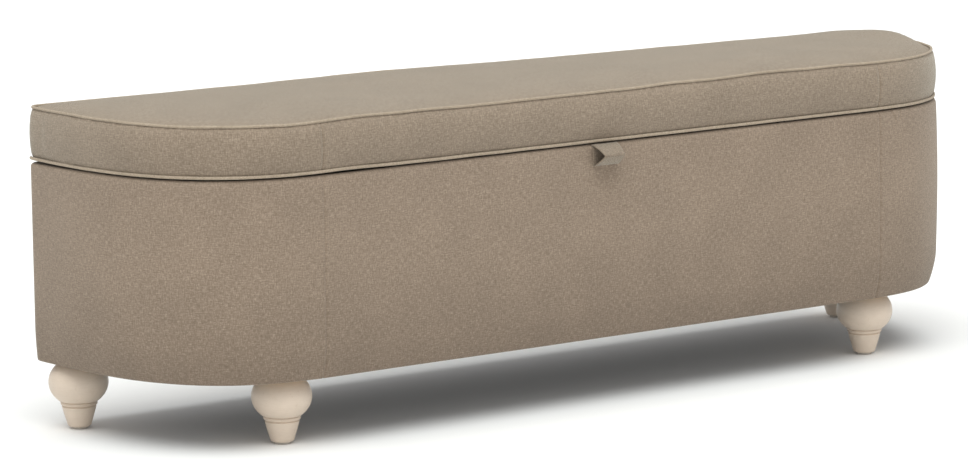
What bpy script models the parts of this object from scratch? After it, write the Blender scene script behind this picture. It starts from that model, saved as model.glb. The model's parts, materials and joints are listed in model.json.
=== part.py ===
"""Upholstered storage bench with a D-shaped plan: straight back, straight front and rounded ends.

The lid is hinged along the back and held open by two folding stays. Units are metres, +Z is up,
+X runs along the length and +Y points to the back. The origin is on the floor, at the middle of
the overall length and depth.
"""
from math import asin, atan2, cos, pi, radians, sin

import bmesh
import bpy
from mathutils import Matrix, Vector

# Plan and heights of the bench
LENGTH = 1.630            # between the widest points of the two ends
DEPTH = 0.424             # back face to straight front
FLAT_HALF = 0.510         # half of the straight front; the ends start there
END_POWER = 2.75           # fullness of the end's curve, where 2 would be an ellipse
LEG_HEIGHT = 0.106        # floor to the underside of the body
BODY_HEIGHT = 0.309       # underside to rim
LID_EDGE = 0.0765         # underside of the lid to the middle of the top welt
CROWN = 0.0125            # rise of the seat above its edge

# Board and padding thicknesses
COVER = 0.010             # padding and fabric on the body
WALL = 0.012              # plywood of the front and the ends
BACK_WALL = 0.018         # plywood of the back, which takes the hinge screws
FLOOR_BOARD = 0.015
LID_BOARD = 0.012
LINING = 0.0015
WRAP = 0.002              # cover folded over the rim and under the body
BOXING = 0.0065           # padding and fabric around the lid's edge
SEAT_COVER = 0.003
GAP = 0.0003              # between pieces that touch

# Shape of the body cover's section
EDGE_ROUND = 0.012        # rounding at the rim
FOOT_ROUND = 0.018        # rounding at the bottom edge
BODY_SWELL = 0.002        # the padding stands proud at mid height

# Lid outline, set back from the body's outline
LID_STEP = 0.006
LID_BACK_STEP = 0.001
LID_CORNER = 0.016        # plan radius of the lid's back corners
BOXING_SWELL = 0.004
WELT = 0.0025             # radius of the piping
LID_WELT_OUT = 0.0029     # middle of the lower piping, outside the lid's outline
SEAT_DOME = 3.5           # how flat the middle of the seat is
SEAT_MIDDLE = 0.25        # share of the half depth that is flat

# Legs
FRONT_LEG_ANGLE = radians(81.3)
FRONT_LEG_INSET = 0.073
BACK_LEG_SIDE = 0.052
BACK_LEG_BACK = 0.056
BALL_RADIUS = 0.0466
BALL_RISE = 0.039         # half height of the ball's ellipse
BALL_HEIGHT = 0.062       # collar to the top of the leg
BALL_NECK = 0.0300        # ball's radius where it meets the collar
COLLAR_RADIUS = 0.0285
COLLAR_HEIGHT = 0.0065
GROOVE = 0.0015
TAPER_TOP = 0.0268
FOOT_RADIUS = 0.0188
FOOT_EASE = 0.004         # rounded edge of the foot
GLIDE_RADIUS = 0.0125
GLIDE_HEIGHT = 0.003
PLATE_SIDE = 0.050
PLATE_THICK = 0.0022
BOLT_RADIUS = 0.0040
BOLT_IN_LEG = 0.035
BOLT_FIT = 0.0003

# Hinges
HINGE_STANDOFF = 0.0035   # hinge axis behind the back face
BARREL_RADIUS = 0.0032
HINGE_PIN_RADIUS = 0.0015
PIN_FIT = 0.0003
PIN_HEAD = 0.0012
LEAF_THICK = 0.0009
LEAF_WIDTH = 0.060
LEAF_REACH = 0.026        # from the back face into the bench
KNUCKLE = 0.020
HINGE_SPREAD = 0.450
BUMPER_RADIUS = 0.007
BUMPER_SPREAD = 0.350
BUMPER_INSET = 0.016

# Folding stays, each a parallelogram with the hinge axis
STAY_SIDE = 0.205         # from the end of the bench to the stay
STAY_PLATE = 0.002
STAY_WIDTH = 0.016
STAY_STUD = 0.003
STAY_HEAD = 0.005
STAY_LID_REACH = 0.150    # hinge axis to the lid pivot, forwards
STAY_LID_DROP = 0.014     # hinge axis to the lid pivot, down
STAY_BASE_REACH = 0.050   # hinge axis to the base pivot, forwards
STAY_BASE_DROP = 0.130    # hinge axis to the base pivot, down
FLANGE = 0.026
FLANGE_HEIGHT = 0.044

# Pull tab, a ribbon loop hung from a root under the lower piping
TAB_WIDTH = 0.050
TAB_THICK = 0.0024
TAB_X = -0.018
TAB_INSET = 0.0015        # root behind the front face
TAB_STANDOFF = 0.0022     # middle of the back ply before the front face
TAB_REACH = 0.0365        # root to the tip, forwards
TAB_DROP = 0.014          # root to the tip, down
TAB_BEND = 0.007          # root to the bend over the rim, down
TAB_HANG = 0.033          # root to the bottom fold, down

# Steps of the curved shapes
END_STEPS = 12
CORNER_STEPS = 4
STRAIGHT_STEPS = 8
SEAT_RINGS = 4
BALL_STEPS = 9
ROUND_STEPS = 20
SMALL_STEPS = 12

# Places that follow from the sizes above
END_REACH = LENGTH / 2 - FLAT_HALF
FRONT_REACH = TAB_REACH - TAB_INSET + TAB_THICK / 2
BACK_REACH = HINGE_STANDOFF + BARREL_RADIUS
BACK_Y = (DEPTH + FRONT_REACH - BACK_REACH) / 2
FRONT_Y = BACK_Y - DEPTH
RIM = LEG_HEIGHT + BODY_HEIGHT
LID_GAP = 2 * LEAF_THICK + 4 * GAP    # the hinge leaves lie in it, one on the other
LID_BOTTOM = RIM + LID_GAP
WALL_BOTTOM = LEG_HEIGHT + WRAP + GAP
WALL_TOP = RIM - WRAP - GAP
PLATE_TOP = WALL_BOTTOM + PLATE_THICK
FLOOR_BOTTOM = PLATE_TOP + GAP
BOLT_HOLE = BOLT_RADIUS + BOLT_FIT
PIN_HOLE = HINGE_PIN_RADIUS + PIN_FIT
FLOOR_TOP = FLOOR_BOTTOM + FLOOR_BOARD
LINING_FLOOR_TOP = FLOOR_TOP + GAP + LINING
WALL_OUT = COVER + GAP
WALL_IN = WALL_OUT + WALL
BACK_IN = WALL_OUT + BACK_WALL
LINING_IN = WALL_IN + GAP + LINING
LINING_BACK_IN = BACK_IN + GAP + LINING
WRAP_IN = LINING_IN + GAP
WRAP_BACK_IN = LINING_BACK_IN + GAP
BOXING_TOP = LID_BOTTOM + LID_EDGE - WELT - GAP
LID_IN = LID_STEP + BOXING + GAP
HINGE_Y = BACK_Y + HINGE_STANDOFF
HINGE_Z = RIM + LID_GAP / 2
STAY_X = LENGTH / 2 - STAY_SIDE
STAY_LAYER = STAY_PLATE + GAP
PLANE_YZ = Matrix(((0, 0, 1), (1, 0, 0), (0, 1, 0)))

BODY_PLAN = {"step": 0.0, "back": 0.0, "corner": 0.0}
LID_PLAN = {"step": LID_STEP, "back": LID_BACK_STEP, "corner": LID_CORNER}
SIDES = {"left": -1, "right": 1}


def clear_scene():
    for item in list(bpy.data.objects):
        bpy.data.objects.remove(item, do_unlink=True)


def new_collection(name):
    group = bpy.data.collections.new(name)
    bpy.context.scene.collection.children.link(group)
    return group


def make_material(name, color, roughness, metallic=0.0):
    material = bpy.data.materials.new(name)
    material.use_nodes = True
    shader = material.node_tree.nodes["Principled BSDF"]
    shader.inputs["Base Color"].default_value = (*color, 1.0)
    shader.inputs["Roughness"].default_value = roughness
    shader.inputs["Metallic"].default_value = metallic
    material.diffuse_color = (*color, 1.0)
    return material


def add_mesh(name, bm, material, smooth=False):
    """Turn a bmesh into a named object in the parts collection."""
    mesh = bpy.data.meshes.new(name)
    bm.to_mesh(mesh)
    bm.free()
    mesh.materials.append(material)
    if smooth:
        mesh.shade_smooth()
        mesh.set_sharp_from_angle(angle=radians(40))
    piece = bpy.data.objects.new(name, mesh)
    PARTS.objects.link(piece)
    return piece


def make_guide(piece):
    """Keep a cutter or a joined shape out of the parts."""
    PARTS.objects.unlink(piece)
    CUTTERS.objects.link(piece)
    piece.hide_render = True
    piece.display_type = "WIRE"


def combine(piece, tool, operation):
    make_guide(tool)
    modifier = piece.modifiers.new(f"{operation.lower()} {tool.name}", "BOOLEAN")
    modifier.operation = operation
    modifier.object = tool
    return piece


def join(piece, tool):
    return combine(piece, tool, "UNION")


def cut(piece, tool):
    return combine(piece, tool, "DIFFERENCE")


def loft(name, rows, material, smooth=False):
    """A solid through rows of corners, with the first and the last row filled."""
    bm = bmesh.new()
    loops = [[bm.verts.new(corner) for corner in row] for row in rows]
    for here, there in zip(loops, loops[1:]):
        for i, corner in enumerate(here):
            j = (i + 1) % len(here)
            bm.faces.new((corner, here[j], there[j], there[i]))
    bm.faces.new(loops[0])
    bm.faces.new(loops[-1])
    bmesh.ops.recalc_face_normals(bm, faces=bm.faces)
    return add_mesh(name, bm, material, smooth)


def box(name, low, high, material):
    bm = bmesh.new()
    bmesh.ops.create_cube(bm, size=1.0)
    low, high = Vector(low), Vector(high)
    bmesh.ops.scale(bm, vec=high - low, verts=bm.verts)
    bmesh.ops.translate(bm, vec=(low + high) / 2, verts=bm.verts)
    return add_mesh(name, bm, material)


def rod(name, center, radius, length, axis, material, steps=SMALL_STEPS):
    """A cylinder with flat ends, its middle at center."""
    bm = bmesh.new()
    bmesh.ops.create_cone(
        bm, cap_ends=True, segments=steps, radius1=radius, radius2=radius, depth=length
    )
    piece = add_mesh(name, bm, material, smooth=True)
    piece.rotation_mode = "QUATERNION"
    piece.rotation_quaternion = Vector((0, 0, 1)).rotation_difference(Vector(axis))
    piece.location = center
    return piece


def flat_piece(name, loops, thickness, material, location=(0, 0, 0), plane=None):
    """A flat piece of even thickness from closed outlines; the inner loops are holes.

    The outlines lie in the piece's own XY plane, and its mid plane passes through location.
    """
    curve = bpy.data.curves.new(name, "CURVE")
    curve.dimensions = "2D"
    curve.fill_mode = "BOTH"
    curve.extrude = thickness / 2
    for loop in loops:
        spline = curve.splines.new("POLY")
        spline.points.add(len(loop) - 1)
        for point, (x, y) in zip(spline.points, loop):
            point.co = (x, y, 0, 1)
        spline.use_cyclic_u = True
    outline_object = bpy.data.objects.new(name, curve)
    PARTS.objects.link(outline_object)
    evaluated = outline_object.evaluated_get(bpy.context.evaluated_depsgraph_get())
    bm = bmesh.new()
    bm.from_mesh(bpy.data.meshes.new_from_object(evaluated))
    bpy.data.objects.remove(outline_object, do_unlink=True)
    bmesh.ops.remove_doubles(bm, verts=bm.verts, dist=0.00001)
    bmesh.ops.recalc_face_normals(bm, faces=bm.faces)
    piece = add_mesh(name, bm, material)
    rotation = plane.to_4x4() if plane else Matrix.Identity(4)
    piece.matrix_world = Matrix.Translation(location) @ rotation
    return piece


def turned(name, profile, location, material, steps=ROUND_STEPS):
    """A turned piece: its profile runs down the outer side, from the axis to the axis."""
    mesh = bpy.data.meshes.new(name)
    corners = [(radius, 0, height) for radius, height in profile]
    mesh.from_pydata(corners, [(i, i + 1) for i in range(len(corners) - 1)], [])
    mesh.materials.append(material)
    piece = bpy.data.objects.new(name, mesh)
    PARTS.objects.link(piece)
    piece.location = location
    screw = piece.modifiers.new("Screw", "SCREW")
    screw.steps = steps
    screw.render_steps = steps
    screw.use_merge_vertices = True
    screw.merge_threshold = 0.00001
    screw.use_smooth_shade = True
    return piece


def tube(name, points, radius, material, closed):
    """Piping or wire: a round tube along a line of points."""
    curve = bpy.data.curves.new(name, "CURVE")
    curve.dimensions = "3D"
    curve.bevel_depth = radius
    curve.bevel_resolution = 2
    curve.use_fill_caps = True
    spline = curve.splines.new("POLY")
    spline.points.add(len(points) - 1)
    for point, place in zip(spline.points, points):
        point.co = (*place, 1)
    spline.use_cyclic_u = closed
    curve.materials.append(material)
    piece = bpy.data.objects.new(name, curve)
    PARTS.objects.link(piece)
    return piece


def circle(center, radius, steps=SMALL_STEPS):
    turns = [2 * pi * i / steps for i in range(steps)]
    return [(center[0] + radius * cos(t), center[1] + radius * sin(t)) for t in turns]


def stadium(start, end, radius):
    """Outline of a link with round ends about two pivots."""
    half = SMALL_STEPS // 2
    heading = atan2(end[1] - start[1], end[0] - start[0])
    loop = []
    for center, first in ((end, heading - pi / 2), (start, heading + pi / 2)):
        for i in range(half + 1):
            turn = first + pi * i / half
            loop.append((center[0] + radius * cos(turn), center[1] + radius * sin(turn)))
    return loop


def end_point(angle, inset):
    """A point of the right end: angle 0 is at the back face and pi/2 at the straight front."""
    across = max(0.0, cos(angle)) ** (2 / END_POWER)
    along = sin(angle) ** (2 / END_POWER)
    normal = Vector((across ** (END_POWER - 1) / END_REACH, along ** (END_POWER - 1) / DEPTH))
    normal.normalize()
    x = FLAT_HALF + END_REACH * across - inset * normal.x
    y = BACK_Y - DEPTH * along + inset * normal.y
    return Vector((x, y))


def end_rows(section, plan, back=None):
    """A section's corners (inset, height) at each station of the right end, from back to front."""
    back = plan["back"] if back is None else back
    corner = plan["corner"]
    rows = []
    for i in range(CORNER_STEPS if corner else 0):
        turn = pi / 2 * (1 - i / CORNER_STEPS)
        row = []
        for inset, height in section:
            x = LENGTH / 2 - plan["step"] - corner + (corner - inset) * cos(turn)
            y = BACK_Y - back - corner + (corner - inset) * sin(turn)
            row.append(Vector((x, y, height)))
        rows.append(row)
    stations = []
    for i in range(END_STEPS + 1):
        angle = pi / 2 * i / END_STEPS
        stations.append([Vector((*end_point(angle, plan["step"] + inset), z)) for inset, z in section])
    start_y = BACK_Y - back - corner
    stations[0] = [cross_line(here, there, start_y) for here, there in zip(*stations[:2])]
    return rows + stations


def cross_line(here, there, y):
    """Where the line between two points crosses a height across the bench."""
    return here.lerp(there, (here.y - y) / (here.y - there.y))


def end_curve(inset, plan, back=None):
    return [Vector(row[0][:2]) for row in end_rows([(inset, 0.0)], plan, back)]


def mirrored(points):
    return [Vector((-point[0], *point[1:])) for point in points]


def outline(inset, plan, back=None):
    """Closed D-shaped outline at an inset."""
    right = end_curve(inset, plan, back)
    return right + mirrored(reversed(right))


def spread(start, end, steps):
    """Points strictly between two points."""
    return [start.lerp(end, i / steps) for i in range(1, steps)]


def ring(inset):
    """The lid's outline at an inset, with points along its straight sides."""
    right = end_curve(inset, LID_PLAN)
    left = mirrored(reversed(right))
    front = spread(right[-1], left[0], STRAIGHT_STEPS)
    back = spread(left[-1], right[0], STRAIGHT_STEPS)
    return right + front + left + back


def shrunk(points, share, height):
    """Draw a ring of the lid towards its middle line and set its height."""
    middle_y = BACK_Y - DEPTH / 2
    spine = LENGTH / 2 - DEPTH / 2
    row = []
    for x, y in points:
        spine_x = max(-spine, min(spine, x))
        row.append(Vector((spine_x + (x - spine_x) * share, middle_y + (y - middle_y) * share, height)))
    return row


def seat_rows(inset, edge_height):
    """Rings of the crowned seat, from its edge to its flat middle."""
    points = ring(inset)
    rows = []
    for i in range(SEAT_RINGS + 1):
        share = 1 - (1 - SEAT_MIDDLE) * i / SEAT_RINGS
        height = edge_height + CROWN * (1 - share ** SEAT_DOME)
        rows.append(shrunk(points, share, height))
    return rows


def body_section(wrap_in):
    """Section of the body's cover: padded skin, with wraps over the rim and under the body."""
    low, high = LEG_HEIGHT, RIM
    skin = [
        (EDGE_ROUND / 2, high), (EDGE_ROUND / 8, high - EDGE_ROUND / 6), (0.0, high - EDGE_ROUND),
        (-BODY_SWELL, (low + high) / 2),
        (0.0, low + FOOT_ROUND), (FOOT_ROUND / 8, low + FOOT_ROUND / 4), (FOOT_ROUND / 2, low),
    ]
    inside = [
        (wrap_in, low), (wrap_in, low + WRAP), (COVER, low + WRAP),
        (COVER, high - WRAP), (wrap_in, high - WRAP), (wrap_in, high),
    ]
    return skin + inside


def straight_rows(section, face_y, inward, half):
    """The same section carried along a straight side, from -half to +half."""
    return [[Vector((x, face_y + inward * inset, z)) for inset, z in section] for x in (-half, half)]


def both_ends(name, rows, material, smooth=False):
    """The right piece and its mirror image on the left."""
    loft(f"right_{name}", rows, material, smooth)
    loft(f"left_{name}", [mirrored(row) for row in rows], material, smooth)


def wall_section(outer, inner, low, high):
    return [(outer, low), (inner, low), (inner, high), (outer, high)]


def make_carcass():
    """Plywood box: floor, front, back and two bent ends, with the bolt holes in the floor."""
    floor_loop = outline(WALL_IN + GAP, BODY_PLAN, BACK_IN + GAP)
    middle = (0, 0, (FLOOR_BOTTOM + FLOOR_TOP) / 2)
    floor = flat_piece("bottom_panel", [floor_loop], FLOOR_BOARD, PLYWOOD, middle)
    for name, (x, y) in leg_places().items():
        place = (x, y, middle[2])
        cut(floor, rod(f"{name}_hole", place, BOLT_HOLE, FLOOR_BOARD * 2, (0, 0, 1), PLYWOOD))
    walls = wall_section(WALL_OUT, WALL_IN, WALL_BOTTOM, WALL_TOP)
    both_ends("end_panel", end_rows(walls, BODY_PLAN, BACK_IN + GAP), PLYWOOD)
    loft("front_panel", straight_rows(walls, FRONT_Y, 1, FLAT_HALF - GAP), PLYWOOD)
    box(
        "back_panel",
        (-LENGTH / 2 + WALL_OUT, BACK_Y - BACK_IN, WALL_BOTTOM),
        (LENGTH / 2 - WALL_OUT, BACK_Y - WALL_OUT, WALL_TOP),
        PLYWOOD,
    )


def make_body_covers():
    """Padded fabric on the outside, sewn at the straight front's ends and at the back corners."""
    rows = end_rows(body_section(WRAP_IN), BODY_PLAN)
    both_ends("end_cover", rows, BODY_FABRIC, smooth=True)
    corner_low = BACK_Y - WRAP_BACK_IN - GAP
    for side, sign in SIDES.items():
        edges = sorted((sign * FLAT_HALF, sign * (LENGTH / 2 - COVER - GAP)))
        relief = box(
            f"{side}_corner_relief",
            (edges[0], corner_low, LEG_HEIGHT - WRAP),
            (edges[1], BACK_Y + COVER, RIM + WRAP),
            BODY_FABRIC,
        )
        cut(bpy.data.objects[f"{side}_end_cover"], relief)
    front = straight_rows(body_section(WRAP_IN), FRONT_Y, 1, FLAT_HALF - GAP)
    loft("front_cover", front, BODY_FABRIC, smooth=True)
    back = straight_rows(body_section(WRAP_BACK_IN), BACK_Y, -1, LENGTH / 2 - COVER - 2 * GAP)
    loft("back_cover", back, BODY_FABRIC, smooth=True)


def make_linings():
    """Fabric inside the box, the black cloth under it, and the cloth under the lid."""
    outer = outline(WALL_IN + GAP, BODY_PLAN, BACK_IN + GAP)
    inner = outline(LINING_IN, BODY_PLAN, LINING_BACK_IN)
    low = FLOOR_TOP + GAP
    height = WALL_TOP - low
    flat_piece("wall_lining", [outer, inner], height, LINING_FABRIC, (0, 0, low + height / 2))
    floor_loop = outline(LINING_IN + GAP, BODY_PLAN, LINING_BACK_IN + GAP)
    flat_piece("floor_lining", [floor_loop], LINING, LINING_FABRIC, (0, 0, low + LINING / 2))
    dust_loop = outline(WRAP_IN + GAP, BODY_PLAN, WRAP_BACK_IN + GAP)
    holes = [circle(place, BOLT_HOLE) for place in leg_places().values()]
    dust_thick = WRAP - 2 * GAP
    flat_piece("dust_cover", [dust_loop] + holes, dust_thick, DUST_CLOTH, (0, 0, LEG_HEIGHT + WRAP / 2))
    lid_loop = outline(BOXING + GAP, LID_PLAN)
    flat_piece("lid_lining", [lid_loop], LINING - GAP, DUST_CLOTH, (0, 0, LID_BOTTOM + LINING / 2))


def leg_places():
    """Middle of each leg in plan."""
    front = end_point(FRONT_LEG_ANGLE, FRONT_LEG_INSET)
    back = Vector((LENGTH / 2 - BACK_LEG_SIDE, BACK_Y - BACK_LEG_BACK))
    places = {}
    for side, sign in SIDES.items():
        places[f"leg_front_{side}"] = (sign * front.x, front.y)
        places[f"leg_back_{side}"] = (sign * back.x, back.y)
    return places


def leg_heights():
    """Collar's underside, collar's top and the top of the leg."""
    top = LEG_HEIGHT - GAP
    return top - BALL_HEIGHT - COLLAR_HEIGHT, top - BALL_HEIGHT, top


def ball_angles():
    """Start and end of the ball's arc, from its cut top down to the neck."""
    neck = -(pi / 2 - asin(BALL_NECK / BALL_RADIUS))
    center = leg_heights()[1] - BALL_RISE * sin(neck)
    return asin((leg_heights()[2] - center) / BALL_RISE), neck, center


def leg_profile():
    """Half section of a leg: bolt bore, ball, collar between two grooves, and tapered foot."""
    collar_low, collar_top, top = leg_heights()
    first, last, center = ball_angles()
    bore = BOLT_HOLE
    bore_floor = top - BOLT_IN_LEG - BOLT_FIT
    profile = [(0, bore_floor), (bore, bore_floor), (bore, top)]
    for i in range(BALL_STEPS + 1):
        angle = first + (last - first) * i / BALL_STEPS
        profile.append((BALL_RADIUS * cos(angle), center + BALL_RISE * sin(angle)))
    foot = GLIDE_HEIGHT + GAP
    profile += [
        (COLLAR_RADIUS - GROOVE, collar_top - GROOVE / 2),
        (COLLAR_RADIUS, collar_top - COLLAR_HEIGHT * 0.35),
        (COLLAR_RADIUS, collar_low + COLLAR_HEIGHT * 0.35),
        (COLLAR_RADIUS - GROOVE, collar_low),
        (TAPER_TOP - GROOVE, collar_low - GROOVE / 2),
        (TAPER_TOP, collar_low - GROOVE * 1.5),
        (FOOT_RADIUS, foot + FOOT_EASE),
        (FOOT_RADIUS - FOOT_EASE * 0.3, foot + FOOT_EASE * 0.3),
        (FOOT_RADIUS - FOOT_EASE, foot),
        (0, foot),
    ]
    return profile


def make_legs():
    """Each leg with its glide, its mounting plate and the bolt that screws it to the floor."""
    bolt_low = LEG_HEIGHT - BOLT_IN_LEG
    bolt_length = FLOOR_TOP - bolt_low
    for name, (x, y) in leg_places().items():
        turned(name, leg_profile(), (x, y, 0), LEG_PAINT)
        glide = [
            (0, GLIDE_HEIGHT), (GLIDE_RADIUS, GLIDE_HEIGHT), (GLIDE_RADIUS, GLIDE_HEIGHT / 3),
            (GLIDE_RADIUS - GLIDE_HEIGHT / 3, 0), (0, 0),
        ]
        turned(f"{name}_glide", glide, (x, y, 0), GLIDE_PLASTIC, SMALL_STEPS)
        half = PLATE_SIDE / 2
        square = [(-half, -half), (half, -half), (half, half), (-half, half)]
        loops = [square, circle((0, 0), BOLT_HOLE)]
        flat_piece(f"{name}_plate", loops, PLATE_THICK, STEEL, (x, y, PLATE_TOP - PLATE_THICK / 2))
        middle = (x, y, bolt_low + bolt_length / 2)
        rod(f"{name}_bolt", middle, BOLT_RADIUS, bolt_length, (0, 0, 1), STEEL)


def make_seat():
    """Lid board, foam, crowned seat cover, boxing strips around the edge and two lines of piping."""
    board_low = LID_BOTTOM + LINING + GAP
    board_loop = outline(BOXING + GAP, LID_PLAN)
    flat_piece("lid_panel", [board_loop], LID_BOARD, PLYWOOD, (0, 0, board_low + LID_BOARD / 2))
    cover_low = BOXING_TOP + GAP
    foam_low = board_low + LID_BOARD + GAP
    foam_rows = seat_rows(BOXING + GAP, cover_low - GAP)
    loft("seat_foam", [shrunk(ring(BOXING + GAP), 1, foam_low)] + foam_rows, FOAM, smooth=True)
    welt_inset = WELT
    cover_inset = welt_inset + WELT + GAP
    under = seat_rows(cover_inset, cover_low)
    over = seat_rows(cover_inset, cover_low + SEAT_COVER)
    loft("seat_cover", under[::-1] + over, SEAT_FABRIC, smooth=True)
    welt_z = BOXING_TOP + GAP + WELT
    welt_line = [(x, y, welt_z) for x, y in ring(welt_inset)]
    tube("seat_welt", welt_line, WELT, WELT_FABRIC, closed=True)
    make_boxing()


def make_boxing():
    section = [
        (0.0, LID_BOTTOM), (BOXING, LID_BOTTOM), (BOXING, BOXING_TOP), (0.0, BOXING_TOP),
        (-BOXING_SWELL, (LID_BOTTOM + BOXING_TOP) / 2),
    ]
    both_ends("end_boxing", end_rows(section, LID_PLAN), SEAT_FABRIC)
    half = FLAT_HALF - GAP
    loft("front_boxing", straight_rows(section, FRONT_Y + LID_STEP, 1, half), SEAT_FABRIC)
    flat = section[:-1]
    back_half = LENGTH / 2 - LID_STEP - LID_CORNER - GAP
    loft("back_boxing", straight_rows(flat, BACK_Y - LID_BACK_STEP, -1, back_half), SEAT_FABRIC)
    right = end_curve(-LID_WELT_OUT, LID_PLAN)[CORNER_STEPS:]
    line = right + mirrored(reversed(right))
    tube("lid_welt", [(x, y, LID_BOTTOM + WELT) for x, y in line], WELT, WELT_FABRIC, closed=False)


def make_hinges():
    """Three butt hinges: leaves flat in the gap under the lid, barrels behind the back face."""
    for name, x in (("left", -HINGE_SPREAD), ("centre", 0.0), ("right", HINGE_SPREAD)):
        for kind, up in (("base", -1), ("lid", 1)):
            make_leaf(f"hinge_{name}_{kind}_leaf", x, kind, up)
        half = LEAF_WIDTH / 2 + GAP
        head = HINGE_PIN_RADIUS + PIN_FIT * 3
        profile = [
            (0, half + PIN_HEAD), (head, half + PIN_HEAD), (head, half), (HINGE_PIN_RADIUS, half),
            (HINGE_PIN_RADIUS, -half), (head, -half), (head, -half - PIN_HEAD), (0, -half - PIN_HEAD),
        ]
        pin = turned(f"hinge_{name}_pin", profile, (x, HINGE_Y, HINGE_Z), STEEL, SMALL_STEPS)
        pin.rotation_euler = (0, pi / 2, 0)


def make_leaf(name, x, kind, up):
    """One leaf with its knuckles: the base leaf has the outer two and the lid leaf the middle one."""
    half = LEAF_WIDTH / 2
    inner = KNUCKLE / 2
    clear = BARREL_RADIUS + GAP
    tab_y = HINGE_PIN_RADIUS + PIN_FIT * 2
    if kind == "base":
        knuckles = [(-half, -inner - GAP), (inner + GAP, half)]
    else:
        knuckles = [(-inner, inner)]
    loop = [(-half, -clear)]
    for start, end in knuckles:
        left, right = start + GAP, end - GAP
        loop += [(left, -clear), (left, -tab_y), (right, -tab_y), (right, -clear)]
    far = -HINGE_STANDOFF - LEAF_REACH
    loop += [(half, -clear), (half, far), (-half, far)]
    middle = HINGE_Z + up * (LID_GAP / 2 - GAP - LEAF_THICK / 2)
    leaf = flat_piece(name, [loop], LEAF_THICK, STEEL, (x, HINGE_Y, middle))
    for i, (start, end) in enumerate(knuckles):
        center = (x + (start + end) / 2, HINGE_Y, HINGE_Z)
        join(leaf, rod(f"{name}_knuckle_{i}", center, BARREL_RADIUS, end - start, (1, 0, 0), STEEL))
    axis = (x, HINGE_Y, HINGE_Z)
    return cut(leaf, rod(f"{name}_bore", axis, PIN_HOLE, LEAF_WIDTH * 2, (1, 0, 0), STEEL))


def make_bumpers():
    height = LID_GAP - 2 * GAP
    for side, sign in SIDES.items():
        center = (sign * BUMPER_SPREAD, FRONT_Y + BUMPER_INSET, RIM + GAP + height / 2)
        rod(f"lid_bumper_{side}", center, BUMPER_RADIUS, height, (0, 0, 1), RUBBER)


def stay_pivots():
    """Base pivot, elbow and lid pivot in the YZ plane, with the lid closed."""
    lid = Vector((HINGE_Y - STAY_LID_REACH, HINGE_Z - STAY_LID_DROP))
    base = Vector((HINGE_Y - STAY_BASE_REACH, HINGE_Z - STAY_BASE_DROP))
    elbow = base + Vector((-STAY_LID_REACH, -STAY_LID_DROP))
    return base, elbow, lid


def layer_x(sign, layer):
    """Middle of one of a stay's layers, counted from the end of the bench inwards."""
    return sign * (STAY_X - STAY_PLATE / 2 - layer * STAY_LAYER)


def add_stud(piece, name, sign, pivot, layer):
    """Shouldered stud from a layer through the next one, with its head beyond."""
    start = layer_x(sign, layer)
    reach = STAY_LAYER * 2
    stud_x = start - sign * reach / 2
    join(piece, rod(f"{name}_stud", (stud_x, *pivot), STAY_STUD, reach, (1, 0, 0), STEEL))
    head_x = layer_x(sign, layer + 2)
    join(piece, rod(f"{name}_head", (head_x, *pivot), STAY_HEAD, STAY_PLATE, (1, 0, 0), STEEL))


def make_link(name, sign, layer, start, end, holes):
    """A flat link between two pivots, with its origin on the first."""
    offset = end - start
    loops = [stadium((0, 0), offset, STAY_WIDTH / 2)]
    loops += [circle(hole - start, STAY_STUD + PIN_FIT) for hole in holes]
    place = (layer_x(sign, layer), *start)
    return flat_piece(name, loops, STAY_PLATE, STEEL, place, PLANE_YZ)


def make_stays():
    base, elbow, lid = stay_pivots()
    for side, sign in SIDES.items():
        make_base_bracket(f"stay_{side}_base_bracket", sign, base)
        lower = make_link(f"stay_{side}_lower_arm", sign, 1, base, elbow, [base])
        add_stud(lower, f"stay_{side}_elbow", sign, elbow, 1)
        make_link(f"stay_{side}_upper_arm", sign, 2, elbow, lid, [elbow, lid])
        make_lid_bracket(f"stay_{side}_lid_bracket", sign, lid)


def make_base_bracket(name, sign, pivot):
    """Web with the base pivot's stud, and a flange against the back lining."""
    wall_y = BACK_Y - LINING_BACK_IN - GAP
    half = STAY_WIDTH / 2
    low, high = pivot.y - FLANGE_HEIGHT / 2, pivot.y + FLANGE_HEIGHT / 2
    turns = [pi / 2 + pi * i / SMALL_STEPS for i in range(SMALL_STEPS + 1)]
    nose = [(pivot.x + half * cos(t), pivot.y + half * sin(t)) for t in turns]
    root = wall_y - STAY_PLATE / 2
    loop = nose + [(root, low + STAY_PLATE), (root, high - STAY_PLATE)]
    web = flat_piece(name, [loop], STAY_PLATE, STEEL, (layer_x(sign, 0), 0, 0), PLANE_YZ)
    edges = sorted((sign * (STAY_X - STAY_PLATE / 2), sign * (STAY_X + FLANGE)))
    flange = box(
        f"{name}_flange", (edges[0], wall_y - STAY_PLATE, low), (edges[1], wall_y, high), STEEL
    )
    join(web, flange)
    add_stud(web, name, sign, pivot, 0)


def make_lid_bracket(name, sign, pivot):
    """Web with the lid pivot's stud, and a flange against the cloth under the lid."""
    top = LID_BOTTOM - GAP
    half = STAY_WIDTH / 2
    low, high = pivot.x - FLANGE_HEIGHT / 2, pivot.x + FLANGE_HEIGHT / 2
    turns = [pi + pi * i / SMALL_STEPS for i in range(SMALL_STEPS + 1)]
    nose = [(pivot.x + half * cos(t), pivot.y + half * sin(t)) for t in turns]
    root = top - STAY_PLATE / 2
    loop = nose + [(high - STAY_PLATE, root), (low + STAY_PLATE, root)]
    web = flat_piece(name, [loop], STAY_PLATE, STEEL, (layer_x(sign, 1), 0, 0), PLANE_YZ)
    inner = STAY_X - STAY_LAYER - STAY_PLATE / 2
    edges = sorted((sign * inner, sign * (STAY_X + FLANGE)))
    flange = box(f"{name}_flange", (edges[0], low, top - STAY_PLATE), (edges[1], high, top), STEEL)
    join(web, flange)
    add_stud(web, name, sign, pivot, 1)


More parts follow.
